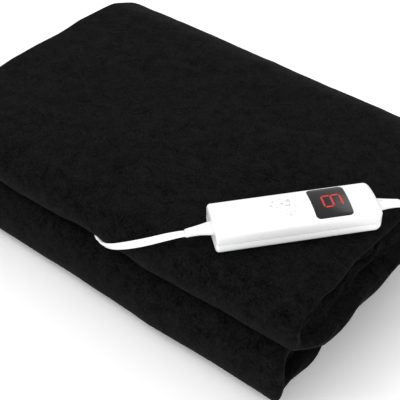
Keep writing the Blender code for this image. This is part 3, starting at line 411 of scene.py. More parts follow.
def woven_group():
    """Plain weave of a tape: two crossing sets of threads."""
    group, start, end = new_group(
        "woven_tape", [("Colour", (0.02, 0.02, 0.02, 1.0)),
                       ("Thread Colour", (0.06, 0.06, 0.06, 1.0)),
                       ("Thread Size", 0.0008)])
    m = Maker(group)
    where = m.objects()
    split = m.node("ShaderNodeSeparateXYZ", Vector=where)
    turn = m.math("DIVIDE", math.tau, start.outputs["Thread Size"])
    along = m.math("SINE", m.math("MULTIPLY", split.outputs["X"], turn))
    across = m.math("SINE", m.math("MULTIPLY", m.math("ADD", split.outputs["Z"],
                                                      split.outputs["Y"]), turn))
    weave = m.math("MULTIPLY", along, across)
    fuzz = m.noise(where, 900.0, 2.0, 0.6)
    m.feed(end.inputs["Colour"], m.mix(m.span(m.math("ADD", weave, fuzz), -0.5, 1.6),
                                       start.outputs["Colour"], start.outputs["Thread Colour"]))
    m.feed(end.inputs["Roughness"], m.span(fuzz, 0.3, 0.7, 0.8, 0.95))
    m.feed(end.inputs["Height"], m.math("ADD", weave, m.math("MULTIPLY", fuzz, 0.6)))
    return group


def metal_group():
    """Drawing marks and dull spots of a small metal part."""
    group, start, end = new_group(
        "drawn_metal", [("Colour", (0.7, 0.7, 0.7, 1.0)), ("Dull Colour", (0.4, 0.4, 0.4, 1.0)),
                        ("Roughness Low", 0.2), ("Roughness High", 0.45)])
    m = Maker(group)
    where = m.objects()
    marks = m.noise(m.stretched(where, (1.0, 1.0, 0.08)), 2600.0, 2.0, 0.5)
    spots = m.noise(where, 260.0, 2.0, 0.6)
    m.feed(end.inputs["Colour"], m.mix(m.span(spots, 0.45, 0.8), start.outputs["Colour"],
                                       start.outputs["Dull Colour"]))
    m.feed(end.inputs["Roughness"], m.span(spots, 0.3, 0.7, start.outputs["Roughness Low"],
                                           start.outputs["Roughness High"]))
    m.feed(end.inputs["Height"], marks)
    return group


GROUPS = {"plush": plush_group(), "moulded": moulded_group(), "woven": woven_group(),
          "metal": metal_group(), "marks": marks_group()}


def surface(name, group, values, bump_height, shader_values):
    """Material whose colour, roughness and bump come from one shared group."""
    made = bpy.data.materials.new(name)
    made.use_nodes = True
    tree = made.node_tree
    shader = tree.nodes["Principled BSDF"]
    part = tree.nodes.new("ShaderNodeGroup")
    part.node_tree = GROUPS[group]
    for label, value in values.items():
        part.inputs[label].default_value = value
    bump = tree.nodes.new("ShaderNodeBump")
    bump.inputs["Distance"].default_value = bump_height
    bump.inputs["Strength"].default_value = 1.0
    tree.links.new(part.outputs["Height"], bump.inputs["Height"])
    tree.links.new(bump.outputs["Normal"], shader.inputs["Normal"])
    tree.links.new(part.outputs["Colour"], shader.inputs["Base Color"])
    tree.links.new(part.outputs["Roughness"], shader.inputs["Roughness"])
    for label, value in shader_values.items():
        shader.inputs[label].default_value = value
    return made


def grey(value, tint=0.0):
    return (value, value, value * (1 + tint), 1.0)


PLUSH = surface("black_plush", "plush",
                {"Colour": (0.0005, 0.0005, 0.0006, 1), "Tip Colour": (0.0068, 0.0067, 0.0069, 1)},
                0.0013, {"Sheen Weight": 0.030, "Sheen Roughness": 0.45,
                         "Sheen Tint": (0.55, 0.55, 0.57, 1), "Specular IOR Level": 0.03})
FELT = surface("grey_felt", "plush", {"Colour": grey(0.20), "Tip Colour": grey(0.42)}, 0.0004,
               {"Sheen Weight": 0.2})


def moulded(name, colour, soil_colour, bump=0.00002, soil=0.15, grain=0.0004,
            rough=(0.3, 0.42), **shader):
    """Moulded plastic or glass; shader holds values for the shader's own sockets."""
    return surface(name, "moulded",
                   {"Colour": colour, "Soil Colour": soil_colour, "Soil": soil,
                    "Grain Size": grain, "Roughness Low": rough[0], "Roughness High": rough[1]},
                   bump, {label.replace("_", " "): value for label, value in shader.items()})


CASING_WHITE = moulded("casing_white", grey(0.765, 0.01), (0.70, 0.695, 0.68, 1), 0.000012, 0.10,
                       rough=(0.26, 0.36), Coat_Weight=0.06, Coat_Roughness=0.25)


def rub(made, middle, reach, shade):
    """Rubbed marks on a material, around one place on the casing."""
    tree = made.node_tree
    m = Maker(tree)
    shader = tree.nodes["Principled BSDF"]
    plain = shader.inputs["Base Color"].links[0].from_socket
    away = m.node("ShaderNodeVectorMath", {"operation": "DISTANCE"}, i0=m.objects())
    away.inputs[1].default_value = middle
    part = tree.nodes.new("ShaderNodeGroup")
    part.node_tree = GROUPS["marks"]
    part.inputs["Reach"].default_value = reach
    tree.links.new(away.outputs["Value"], part.inputs["Distance"])
    tree.links.new(m.mix(part.outputs["Marks"], plain, shade), shader.inputs["Base Color"])


rub(CASING_WHITE, CASE_FRAME @ Vector((BUTTON_AT, 0.001, CASE_HEIGHT)), 0.015,
    (0.40, 0.40, 0.41, 1))
NECK_WHITE = moulded("neck_white", grey(0.80, 0.01), (0.68, 0.675, 0.66, 1), soil=0.18,
                     grain=0.0005, rough=(0.45, 0.58))
CORD_WHITE = moulded("cord_white", grey(0.80, 0.01), (0.66, 0.655, 0.63, 1), soil=0.22,
                     grain=0.0006, rough=(0.40, 0.55))
WINDOW_BLACK = moulded("window_black", (0.006, 0.006, 0.007, 1), grey(0.05), 0.000002, 0.06,
                       rough=(0.20, 0.30), Specular_IOR_Level=0.32)
BLACK_MOULDING = moulded("black_moulding", grey(0.022), grey(0.07), 0.00003, 0.3,
                         rough=(0.42, 0.6))
BOARD_GREEN = moulded("board_green", (0.02, 0.14, 0.05, 1), (0.05, 0.24, 0.09, 1), soil=0.6,
                      rough=(0.3, 0.45))
TERMINAL_GREEN = moulded("terminal_green", (0.04, 0.26, 0.10, 1), (0.08, 0.3, 0.14, 1))
AMBER = moulded("capacitor_amber", (0.60, 0.34, 0.04, 1), (0.45, 0.25, 0.03, 1), soil=0.4)
WIRE_RED = moulded("wire_red", (0.42, 0.06, 0.045, 1), (0.2, 0.03, 0.03, 1))
CONDUCTOR_BROWN = moulded("conductor_brown", (0.16, 0.06, 0.025, 1), (0.1, 0.04, 0.02, 1))
TAPE_BLACK = surface("tape_black", "woven",
                     {"Colour": (0.0015, 0.0015, 0.0017, 1),
                      "Thread Colour": (0.011, 0.011, 0.012, 1)},
                     0.0002, {"Sheen Weight": 0.04, "Specular IOR Level": 0.1})
STEEL = surface("plated_steel", "metal", {}, 0.00001, {"Metallic": 1.0})
BRASS = surface("contact_brass", "metal",
                {"Colour": (0.72, 0.52, 0.22, 1), "Dull Colour": (0.42, 0.28, 0.10, 1)},
                0.00001, {"Metallic": 1.0})
GLASS = moulded("fuse_glass", grey(0.9), grey(0.8), 0.000001, rough=(0.03, 0.06),
                Transmission_Weight=0.9)


def glow_material():
    """Lit light guide: a little uneven in its glow."""
    made = moulded("segment_red", (0.22, 0.008, 0.008, 1), (0.4, 0.05, 0.05, 1), 0.00001, 0.3,
                   rough=(0.4, 0.5), Emission_Strength=0.6, Specular_IOR_Level=0.2)
    tree = made.node_tree
    m = Maker(tree)
    cloud = m.noise(m.objects(), 900.0, 2.0, 0.5)
    colour = m.mix(m.span(cloud, 0.35, 0.7), (0.62, 0.022, 0.022, 1), (0.86, 0.085, 0.075, 1))
    tree.links.new(colour, tree.nodes["Principled BSDF"].inputs["Emission Color"])
    return made


SEGMENT_RED = glow_material()
SEGMENT_DARK = moulded("segment_dark", (0.03, 0.008, 0.008, 1), (0.05, 0.01, 0.01, 1), 0.00001)


# ---------------------------------------------------------------- camera
def camera():
    data = bpy.data.cameras.new("camera")
    data.sensor_width = 36.0
    data.lens = CAMERA_LENS
    data.clip_end = 50.0
    obj = link(bpy.data.objects.new("camera", data))
    obj.location = CAMERA_PLACE
    obj.rotation_euler = (math.radians(CAMERA_TILT), 0, math.radians(CAMERA_TURN))
    bpy.context.scene.camera = obj


# ---------------------------------------------------------------- cords
LEAD_ROUTE = [
    (0.1006, -0.1408, 0.1198), (0.0970, -0.1452, 0.1197), (0.0880, -0.1524, 0.1163),
    (0.0765, -0.1577, 0.1095), (0.0645, -0.1610, 0.1018), (0.0500, -0.1630, 0.0922),
    (0.0355, -0.1622, 0.0822), (0.0215, -0.1584, 0.0735), (0.0075, -0.1510, 0.0680),
    (-0.0070, -0.1390, 0.0652), (-0.0185, -0.1230, 0.0648), (-0.0265, -0.0950, 0.0648),
    (-0.0300, -0.0500, 0.0648), (-0.0300, 0.0000, 0.0648), (-0.0290, 0.0480, 0.0648),
    (-0.0318, 0.0830, 0.0648), (-0.0420, 0.1060, 0.0648), (-0.0570, 0.1166, 0.0648),
    (-0.0717, 0.1177, 0.06475),
]
MAINS_ROUTE = [
    (0.2230, 0.0082, 0.1198), (0.2295, 0.0161, 0.1197), (0.2390, 0.0275, 0.1158),
    (0.2490, 0.0398, 0.1062), (0.2555, 0.0485, 0.0905), (0.2585, 0.0545, 0.0700),
    (0.2598, 0.0600, 0.0500), (0.2606, 0.0665, 0.0320), (0.2612, 0.0755, 0.0170),
    (0.2615, 0.0870, 0.0075), (0.2615, 0.1000, 0.0046), (0.2615, 0.1131, 0.0045),
]
TAIL_ROUTE = [(0.2615, 0.1569, 0.0165), (0.2614, 0.1660, 0.0155), (0.2611, 0.1760, 0.0112),
              (0.2610, 0.1850, 0.0085), (0.2610, 0.1922, 0.0085)]
COIL_TURNS = ((2, 0), (1, 0), (0, 0), (0, 1), (1, 1), (2, 1), (2, 2))
COIL_SHIFT_AT = (0.68, 0.68, 0.68, 0.52, 0.52, 0.36, 1.0)
COIL_SHIFT = 0.30


def coil_points(per_turn=36):
    """Turns beside and on each other; each moves to the next place late in its turn."""
    points = []
    for turn, (ring, row) in enumerate(COIL_TURNS):
        after = COIL_TURNS[min(turn + 1, len(COIL_TURNS) - 1)]
        for k in range(per_turn):
            t = k / per_turn
            move = smoothstep((t - COIL_SHIFT_AT[turn]) / COIL_SHIFT)
            radius = COIL_RADII[ring] + (COIL_RADII[after[0]] - COIL_RADII[ring]) * move
            height = COIL_BASE + MAINS_DIAMETER * (0.5 + row + (after[1] - row) * move)
            a = math.pi - math.tau * t
            points.append(Vector((COIL_MIDDLE[0] + radius * math.cos(a),
                                  COIL_MIDDLE[1] + radius * math.sin(a), height)))
    points.append(Vector((COIL_MIDDLE[0] - COIL_RADII[2], COIL_MIDDLE[1],
                          COIL_BASE + MAINS_DIAMETER * 2.5)))
    return points


def line_curve(name, points):
    """Poly curve through points, as the input of a sweep."""
    curve = bpy.data.curves.new(name, "CURVE")
    curve.dimensions = "3D"
    spline = curve.splines.new("POLY")
    spline.points.add(len(points) - 1)
    for slot, point in zip(spline.points, points):
        slot.co = (*point, 1.0)
    return link(bpy.data.objects.new(name, curve))


def geometry_tree(name, inputs):
    """Empty geometry tree with named inputs and its end: Realize Instances, Set Material."""
    tree = bpy.data.node_groups.new(name, "GeometryNodeTree")
    tree.interface.new_socket("Geometry", in_out="INPUT", socket_type="NodeSocketGeometry")
    for label, kind, default in inputs:
        socket = tree.interface.new_socket(label, in_out="INPUT", socket_type=kind)
        if default is not None:
            socket.default_value = default
    tree.interface.new_socket("Material", in_out="INPUT", socket_type="NodeSocketMaterial")
    tree.interface.new_socket("Geometry", in_out="OUTPUT", socket_type="NodeSocketGeometry")
    start = tree.nodes.new("NodeGroupInput")
    end = tree.nodes.new("NodeGroupOutput")
    realize = tree.nodes.new("GeometryNodeRealizeInstances")
    paint = tree.nodes.new("GeometryNodeSetMaterial")
    tree.links.new(realize.outputs[0], paint.inputs["Geometry"])
    tree.links.new(start.outputs["Material"], paint.inputs["Material"])
    tree.links.new(paint.outputs[0], end.inputs[0])
    return tree, start, realize.inputs[0]


def cord_sweep_tree():
    """Round sheath swept along a curve, with closed ends."""
    tree, start, result = geometry_tree("cord_sweep", [
        ("Diameter", "NodeSocketFloat", 0.006), ("Sides", "NodeSocketInt", 16)])
    m = Maker(tree)
    radius = m.math("MULTIPLY", start.outputs["Diameter"], 0.5)
    profile = tree.nodes.new("GeometryNodeCurvePrimitiveCircle")
    m.feed(profile.inputs["Resolution"], start.outputs["Sides"])
    m.feed(profile.inputs["Radius"], radius)
    sweep = tree.nodes.new("GeometryNodeCurveToMesh")
    m.feed(sweep.inputs["Curve"], start.outputs["Geometry"])
    m.feed(sweep.inputs["Profile Curve"], profile.outputs["Curve"])
    sweep.inputs["Fill Caps"].default_value = True
    shade = tree.nodes.new("GeometryNodeSetShadeSmooth")
    m.feed(shade.inputs["Geometry"], sweep.outputs["Mesh"])
    m.feed(result, shade.outputs["Geometry"])
    return tree


TREES = {"cord": cord_sweep_tree()}


def grown(name, source, tree, finish, **values):
    """Run a geometry tree on a source object and keep the result as a plain mesh."""
    step = source.modifiers.new(tree, "NODES")
    step.node_group = TREES[tree]
    for item in TREES[tree].interface.items_tree:
        if item.in_out != "INPUT" or item.name == "Geometry":
            continue
        if item.name == "Material":
            step[item.identifier] = finish
        elif item.name in values:
            step[item.identifier] = values[item.name]
    mesh = evaluated_mesh(source)
    mesh.name = name
    bpy.data.objects.remove(source)
    obj = link(bpy.data.objects.new(name, mesh))
    if not mesh.materials:
        mesh.materials.append(finish)
    return obj


def flat_cord(name, points, finish):
    """Twin-core flat cord: two lobes with a shallow valley, kept flat on what it lies on."""
    axis = Vector((0.0, FRONT + UPPER_REACH, UPPER_MIDDLE))
    rings = []
    sides = 28
    for i, point in enumerate(points):
        ahead = points[min(i + 1, len(points) - 1)] - points[max(i - 1, 0)]
        tangent = ahead.normalized()
        away = Vector((0, point.y - axis.y, point.z - axis.z)).normalized()
        lean = smoothstep((axis.y - 0.002 - point.y) / 0.014)
        under = smoothstep((0.072 - point.z) / 0.008)
        up = Vector((0, 0, 1)).lerp(away, lean * (1 - under))
        up = (up - tangent * up.dot(tangent)).normalized()
        side = tangent.cross(up)
        ring = []
        for k in range(sides):
            a = math.tau * k / sides
            valley = 1 - VALLEY_DEPTH * math.exp(-(math.cos(a) / VALLEY_WIDTH) ** 2)
            ring.append(point + side * (LEAD_WIDTH / 2 * math.cos(a))
                        + up * (LEAD_THICKNESS / 2 * math.sin(a) * valley))
        rings.append(ring)
    return mesh_object(name, loft(rings), finish, 50)


def refined(name, node, finish, width, slot):
    """Copy of a small CAD part with merged, rounded edges."""
    mesh = nodes[node].data.copy()
    mesh.materials.clear()
    mesh.materials.append(finish)
    bm = bmesh.new()
    bm.from_mesh(mesh)
    bmesh.ops.remove_doubles(bm, verts=bm.verts, dist=0.00001)
    bmesh.ops.dissolve_limit(bm, angle_limit=math.radians(1.0), verts=bm.verts, edges=bm.edges)
    bm.to_mesh(mesh)
    bm.free()
    obj = link(bpy.data.objects.new(name, mesh))
    soften(obj, width)
    stand_for(obj, slot, node)
    return obj


def lead():
    points = smooth_route(LEAD_ROUTE, 0.0025)
    cord = flat_cord("lead_flex", points, CORD_WHITE)
    stand_for(cord, "cord_white", "lead_cord")
    refined("connector_shell", "connector_plug", BLACK_MOULDING, 0.0005,
                                 "connector_black")


def mains():
    points = smooth_route(MAINS_ROUTE, 0.004)
    points += coil_points()
    points += smooth_route(TAIL_ROUTE, 0.004)
    line = line_curve("mains_line", smooth_route(points, 0.0045))
    cord = grown("mains_flex", line, "cord", CORD_WHITE, Diameter=MAINS_DIAMETER, Sides=16)
    stand_for(cord, "cord_white", "mains_cord", "mains_coil", "mains_cord_tail")
    refined("plug_body", "mains_plug", CORD_WHITE, 0.0012, "plug_white")
    refined("tie_band", "coil_tie", TAPE_BLACK, 0.0006, "tie_black")


camera()
lead()
mains()


# ---------------------------------------------------------------- throw
def bow(middle_y, middle_z, reach, half_height, squareness, angle):
    y, z = squarish(angle, reach, half_height, 2 / squareness, 2 / squareness)
    return Vector((middle_y + y, middle_z + z))


def bundle_line():
    """The folded bundle from its lower free edge to its upper one.

    Each entry is (outer point, inner point, run), with run 0 to 3 from B, A, D to C and
    the folds halfway between them.
    """
    slot = 0.0004
    lower_start, upper_start = FRONT + LOWER_REACH, FRONT + UPPER_REACH
    steps = 30
    angles = [math.pi / 2 - math.pi * k / steps for k in range(steps + 1)]
    entries = []

    def flat(y_from, y_to, outer_z, inner_z, run):
        count = 90 if run == 2 else 36
        for k in range(1, count):
            y = y_from + (y_to - y_from) * k / count
            entries.append((Vector((y, outer_z)), Vector((y, inner_z)), run))

    entries.append((Vector((LEAF_END, POCKET_FLOOR)), Vector((LEAF_END, LOWER_MIDDLE + slot)), 0))
    flat(LEAF_END, lower_start, POCKET_FLOOR, LOWER_MIDDLE + slot, 0)
    for k, a in enumerate(angles):
        entries.append((bow(lower_start, LOWER_MIDDLE, -LOWER_REACH, POCKET_FLOOR / 2, 2.6, a),
                        bow(lower_start, LOWER_MIDDLE, -slot, slot, 2, a), k / steps))
    flat(lower_start, SPINE_START, 0.0, LOWER_MIDDLE - slot, 1)
    for k, a in enumerate(reversed(angles)):
        entries.append((bow(SPINE_START, TOP / 2, BACK - SPINE_START, TOP / 2, 2.7, a),
                        bow(SPINE_START, (LOWER_MIDDLE + UPPER_MIDDLE) / 2, SPINE_HOLLOW,
                            (UPPER_MIDDLE - LOWER_MIDDLE) / 2 + slot, 2, a), 1 + k / steps))
    flat(SPINE_START, upper_start, TOP, UPPER_MIDDLE + slot, 2)
    for k, a in enumerate(angles):
        entries.append((bow(upper_start, UPPER_MIDDLE, -UPPER_REACH, UPPER_REACH, 2, a),
                        bow(upper_start, UPPER_MIDDLE, -slot, slot, 2, a), 2 + k / steps))
    flat(upper_start, LEAF_END, POCKET_ROOF, UPPER_MIDDLE - slot, 3)
    entries.append((Vector((LEAF_END, POCKET_ROOF)), Vector((LEAF_END, UPPER_MIDDLE - slot)), 3))
    return entries


def leaf_outline():
    """Outline of the sheet across the bundle, as (place, depth, bulge) points.

    The sheet's two ends are folded to the middle and then in half, so a bundle holds
    four leaves: two closed noses at +X, one wrap at -X and two free edges inside it.
    place runs from -1 to 1 along the length, depth from 0 to 1 through the bundle, and
    bulge is the share of the fold's own reach by which a point stands out.
    """
    outline = []

    def span(start, end, depth, count):
        for k in range(count + 1):
            outline.append((start + (end - start) * k / count, depth, 0.0))

    def turn(place, depth_from, depth_to, reach, count):
        middle, half = (depth_from + depth_to) / 2, (depth_to - depth_from) / 2
        for k in range(1, count):
            a = math.pi * k / count
            outline.append((place, middle - half * math.cos(a),
                            reach * math.sin(a) ** 0.75))

    thin = 0.010
    quarter = 0.25
    free = -0.93
    # outer face of the first leaf, first nose, back along the second leaf to its free edge
    span(-1, 1, 0.0, 150)
    turn(1, 0.0, 2 * quarter - thin, 1.0, 12)
    span(1, free, 2 * quarter - thin, 14)
    span(free, 1, quarter + thin, 14)
    turn(1, quarter + thin, quarter - thin, 0.10, 4)
    # inner face of the outer wrap, round the hollow side of the bundle
    span(1, -1, quarter - thin, 14)
    turn(-1, quarter - thin, 3 * quarter + thin, 0.55, 8)
    span(-1, 1, 3 * quarter + thin, 14)
    turn(1, 3 * quarter + thin, 3 * quarter - thin, 0.10, 4)
    span(1, free, 3 * quarter - thin, 14)
    span(free, 1, 2 * quarter + thin, 14)
    turn(1, 2 * quarter + thin, 1.0, 1.0, 12)
    span(1, -1, 1.0, 20)
    turn(-1, 1.0, 0.0, 1.0, 18)
    return outline


def wander(seed, position, size):
    """Smooth value between about -1 and 1."""
    return noise.noise(Vector((position / size, seed * 7.3, seed * 3.1))) * 1.9


def smooth_noise(point, size, seed):
    return noise.noise(point / size + Vector((seed * 11.7, seed * 5.3, seed * 2.9))) * 1.6


CREASES = [
    # start, end, depth, width of each soft wrinkle in the top cloth
    ((-0.110, 0.060), (-0.035, 0.085), 0.0011, 0.0060),
    ((-0.135, 0.020), (-0.105, -0.045), 0.0009, 0.0055),
    ((0.035, 0.035), (0.120, 0.075), 0.0010, 0.0060),
    ((0.085, 0.000), (0.110, -0.030), 0.0010, 0.0040),
    ((0.150, 0.095), (0.175, 0.055), 0.0012, 0.0040),
    ((0.020, -0.110), (0.075, -0.095), 0.0008, 0.0070),
    ((0.150, -0.125), (0.205, -0.118), 0.0013, 0.0050),
    ((-0.080, -0.060), (-0.045, -0.110), 0.0008, 0.0080),
    ((-0.180, 0.100), (-0.120, 0.120), 0.0009, 0.0070),
    ((-0.010, -0.020), (0.050, -0.050), 0.0008, 0.0070),
]


def crease_depth(x, y):
    total = 0.0
    for (ax, ay), (bx, by), depth, width in CREASES:
        dx, dy = bx - ax, by - ay
        long = dx * dx + dy * dy
        t = ((x - ax) * dx + (y - ay) * dy) / long
        bend = 0.004 * math.sin(5 * t + ax * 60)
        off = ((x - ax) * dy - (y - ay) * dx) / math.sqrt(long) + bend
        fade = math.exp(-((t - 0.5) / 0.45) ** 4)
        total += depth * fade * (math.exp(-(off / width) ** 2)
                                 - 0.7 * math.exp(-((off - 1.6 * width) / (1.3 * width)) ** 2))
    return total


def near_lead(point):
    """1 beside the lead in the pocket, 0 away from it."""
    best = min(math.hypot(point.x - a, point.y - b) for a, b, _ in LEAD_ROUTE[6:])
    return 1 - smoothstep((best - 0.012) / 0.020)


def on_controller(x, y):
    """1 under the controller, 0 away from it."""
    local = CASE_FRAME.inverted() @ Vector((x, y, TOP))
    off = max(abs(local.x) - CASE_LENGTH / 2, abs(local.y) - CASE_WIDTH / 2, 0)
    return 1 - smoothstep(off / 0.020)


def end_shortfall(run, y):
    """How far the lower runs' +X end falls short of the upper runs'."""
    rise = smoothstep(run - 1)
    return (LOWER_END_SHORT + LOWER_END_SKEW * (y - FRONT)) * (1 - rise)


# +X ends of the layers, outwards from the bundle's own end
UPPER_NOSE, UPPER_NOSE_RISE = -0.0035, 0.0100
UPPER_BACK_RISE, UPPER_FRONT_FALL = 0.0060, 0.010
UPPER_INNER, UPPER_INNER_RISE = -0.0100, 0.0040
LOWER_NOSE, LOWER_INNER = 0.0030, -0.0080
LOWER_BULGE, LOWER_BULGE_AT, LOWER_BULGE_SPAN = 0.0090, 0.068, 0.040
UPPER_FOLD_OUT, LOWER_FOLD_OUT = 0.0035, 0.0100


def nose_place(depth, run, y):
    """How far the bundle's +X end stands out at this depth and run, in metres."""
    second = smoothstep((depth - 0.40) / 0.20)
    wave = 0.0020 * wander(1, y + 0.06 * depth, 0.055) + 0.0012 * wander(4, y - 0.09 * depth, 0.021)
    wave *= 1 + 1.2 * second
    off_front = y - FRONT
    front = smoothstep((0.030 - off_front) / 0.026)
    fold = smoothstep(abs(run - round(run)) / 0.5)
    if run > 1.5:
        rise = smoothstep(run - 2)
        outer = (UPPER_NOSE + UPPER_NOSE_RISE * rise + UPPER_BACK_RISE * rise * (1 - front)
                 - UPPER_FRONT_FALL * rise * front + UPPER_FOLD_OUT * fold * front)
        inner = UPPER_INNER + UPPER_INNER_RISE * rise
    else:
        bulge = math.exp(-((off_front - LOWER_BULGE_AT) / LOWER_BULGE_SPAN) ** 2)
        outer = LOWER_NOSE + LOWER_BULGE * bulge + LOWER_FOLD_OUT * fold * front
        inner = LOWER_INNER
    spread = outer + (inner - outer) * second
    return spread + wave * (1 - 0.7 * fold) - end_shortfall(run, y)


# reach of an end fold as a share of the bundle's thickness, at +X and at -X
NOSE_SHARE, WRAP_SHARE = 0.25, 0.36
WRAP_OUT, WRAP_WAVE, WRAP_SLANT = 0.0060, 0.0025, 0.0090


def throw():
    line = bundle_line()
    outline = leaf_outline()
    rings = []
    for outer, inner, run in line:
        across = inner - outer
        thick = across.length
        ring = []
        for spot, depth, bulge in outline:
            yz = outer + across * depth
            if spot > 0:
                reach = thick * NOSE_SHARE
                end = HALF_LENGTH - reach + nose_place(depth, run, yz.x)
            else:
                reach = thick * WRAP_SHARE
                end = HALF_LENGTH - reach + WRAP_OUT + WRAP_WAVE * wander(9, yz.x, 0.06)
                end -= WRAP_SLANT * smoothstep((yz.x + 0.04) / 0.19)
            x = spot * end + math.copysign(reach * bulge, spot)
            ring.append(settle(Vector((x, yz.x, yz.y)), depth, run))
        rings.append(ring)
    cloth = mesh_object("throw_cloth", loft(rings), PLUSH, 60)
    stand_for(cloth, "plush_black", "cover_outer", "cover_inner_lower", "cover_inner_spine",
              "cover_inner_upper")


# how far the cloth moves from the exact fold
TOP_WAVE, TOP_SAG, TOP_DIMPLE, LOADED_SAG = 0.0011, 0.0004, 0.0012, 0.0002
CREASE_SHARE, RIM_FALL = 0.8, 0.0030
POCKET_CLOSE = 0.0027
LOWER_BELLY, LOWER_BELLY_RISE, LOWER_BELLY_WAVE = 0.0075, 0.0060, 0.0012
UPPER_BELLY, UPPER_BELLY_SWELL, UPPER_BELLY_WAVE = 0.0030, 0.0030, 0.0016
UPPER_DROOP = 0.0022
BACK_PUSH, BACK_PUSH_RISE = 0.0060, 0.0060
FINE_WAVE, END_WAVE = 0.00035, 0.0012


def settle(point, depth, run):
    """Softens the exact fold: sag, wrinkles, closed pocket and bulging front."""
    x, y, z = point
    shallow = 1 - depth
    lift = push = 0.0
    # the top sags and wrinkles, except under the controller
    if 1.2 < run < 2.6:
        top = smoothstep((z - (TOP - 0.022)) / 0.018)
        loaded = on_controller(x, y)
        lift += top * shallow * (TOP_WAVE * smooth_noise(point, 0.11, 1) - TOP_SAG
                                 - CREASE_SHARE * crease_depth(x, y) * (1 - loaded))
        lift -= top * TOP_DIMPLE * (1 - loaded) * shallow * abs(smooth_noise(point, 0.05, 2))
        lift = lift * (1 - loaded) - LOADED_SAG * loaded
        rim = smoothstep((x - 0.195) / 0.03) * top
        lift -= RIM_FALL * rim * rim * shallow
    # pocket closes around the lead
    if run < 0.35 or run > 2.65:
        inside = 1 - near_lead(point)
        close = POCKET_CLOSE * inside * shallow ** 2
        lift += close if run < 1 else -close
    # the folds' fronts bulge, the lower one more towards +X
    if run < 1.2:
        front = smoothstep((FRONT + 0.045 - y) / 0.045)
        belly = LOWER_BELLY + LOWER_BELLY_RISE * smoothstep((x + 0.20) / 0.36)
        rounded = math.sin(math.pi * (0.22 + 0.68 * min(max(z / POCKET_FLOOR, 0), 1))) ** 0.5
        push -= front * belly * rounded
        push += front * LOWER_BELLY_WAVE * smooth_noise(point, 0.06, 3)
    if run > 1.8:
        front = smoothstep((FRONT + 0.035 - y) / 0.035)
        belly = UPPER_BELLY + UPPER_BELLY_SWELL * math.exp(-((x - 0.085) / 0.045) ** 2)
        belly += UPPER_BELLY_WAVE * smooth_noise(point, 0.05, 4)
        low = smoothstep((UPPER_MIDDLE + 0.012 - z) / 0.024)
        push -= front * belly * (0.35 + 0.65 * low)
        lift -= front * low * UPPER_DROOP
    if 0.9 < run < 2.1:
        back = smoothstep((y - BACK + 0.030) / 0.030) * shallow
        push += back * (BACK_PUSH + BACK_PUSH_RISE * smoothstep((0.10 - x) / 0.26))
    fine = FINE_WAVE * smooth_noise(point, 0.018, 6) * shallow
    if z < 0.004 and run < 1.5:
        fine = 0.0
        lift = max(lift, 0.0)
    return Vector((x + END_WAVE * smooth_noise(point, 0.09, 7), y + push,
                   max(z + lift + fine, 0.0002)))


throw()


# ---------------------------------------------------------------- controller
def arch_height(y, inset):
    radius = ARCH_RADIUS - inset
    return CASE_HEIGHT - ARCH_RADIUS + math.sqrt(radius * radius - y * y)


def casing_section(inset):
    half = CASE_WIDTH / 2 - inset
    corner = max(BOTTOM_RADIUS - inset, 0.001)
    arch_half = ARCH_HALF - inset
    side = []
    for k in range(9):
        a = -math.pi / 2 + math.pi / 2 * k / 8
        side.append((half - corner + corner * math.cos(a), inset + corner * (1 + math.sin(a))))
    peak = arch_height(arch_half, inset)
    for k in range(15):
        t = k / 14
        y = (1 - t) ** 2 * half + 2 * t * (1 - t) * half + t * t * arch_half
        z = (1 - t) ** 2 * FLANK_TOP + 2 * t * (1 - t) * (peak - 0.0006) + t * t * peak
        side.append((y, z))
    for k in range(1, 12):
        y = arch_half * (1 - k / 12)
        side.append((y, arch_height(y, inset)))
    return side + [(0.0, arch_height(0.0, inset))] + [(-y, z) for y, z in reversed(side)]


def casing_body(wall):
    rings = []
    for side, radius in ((-1, LEAD_END_RADIUS), (1, MAINS_END_RADIUS)):
        radius = max(radius - wall, 0.001)
        end = CASE_LENGTH / 2 - wall
        group = []
        for k in range(9):
            a = math.pi / 2 * k / 8
            group.append((side * (end - radius * (1 - math.cos(a))),
                          wall + radius * (1 - math.sin(a))))
        rings += group if side < 0 else list(reversed(group))
    return loft([[(x, y, z) for y, z in casing_section(inset)] for x, inset in rings])


def rounded_block(length, width, low, high, corner, middle=(0, 0)):
    outline = []
    for cx, cy, start in ((1, 1, 0), (-1, 1, 90), (-1, -1, 180), (1, -1, 270)):
        for k in range(9):
            a = math.radians(start + 90 * k / 8)
            outline.append((middle[0] + cx * (length / 2 - corner) + corner * math.cos(a),
                            middle[1] + cy * (width / 2 - corner) + corner * math.sin(a)))
    return loft([[(x, y, z) for x, y in outline] for z in (low, high)])


def box_tool(size, middle):
    bm = bmesh.new()
    bmesh.ops.create_cube(bm, size=1.0, matrix=Matrix.LocRotScale(middle, None, size))
    return tool(bm)


def rod_tool(radius, low, high, at, sides=64):
    bm = bmesh.new()
    bmesh.ops.create_cone(bm, cap_ends=True, segments=sides, radius1=radius, radius2=radius,
                          depth=high - low,
                          matrix=Matrix.Translation((at[0], at[1], (low + high) / 2)))
    return tool(bm)


def finish_piece(obj, slot, *replaced, body="throw"):
    stand_for(place(obj, CASE_FRAME), slot, *replaced, body=body)


def neck_openings(obj):
    for side in (-1, 1):
        combine(obj, box_tool((0.012, NECK_ROOT[0] + 2 * SEAM, NECK_ROOT[1] + 2 * SEAM),
                              (side * CASE_LENGTH / 2, 0, NECK_HEIGHT)), "DIFFERENCE")


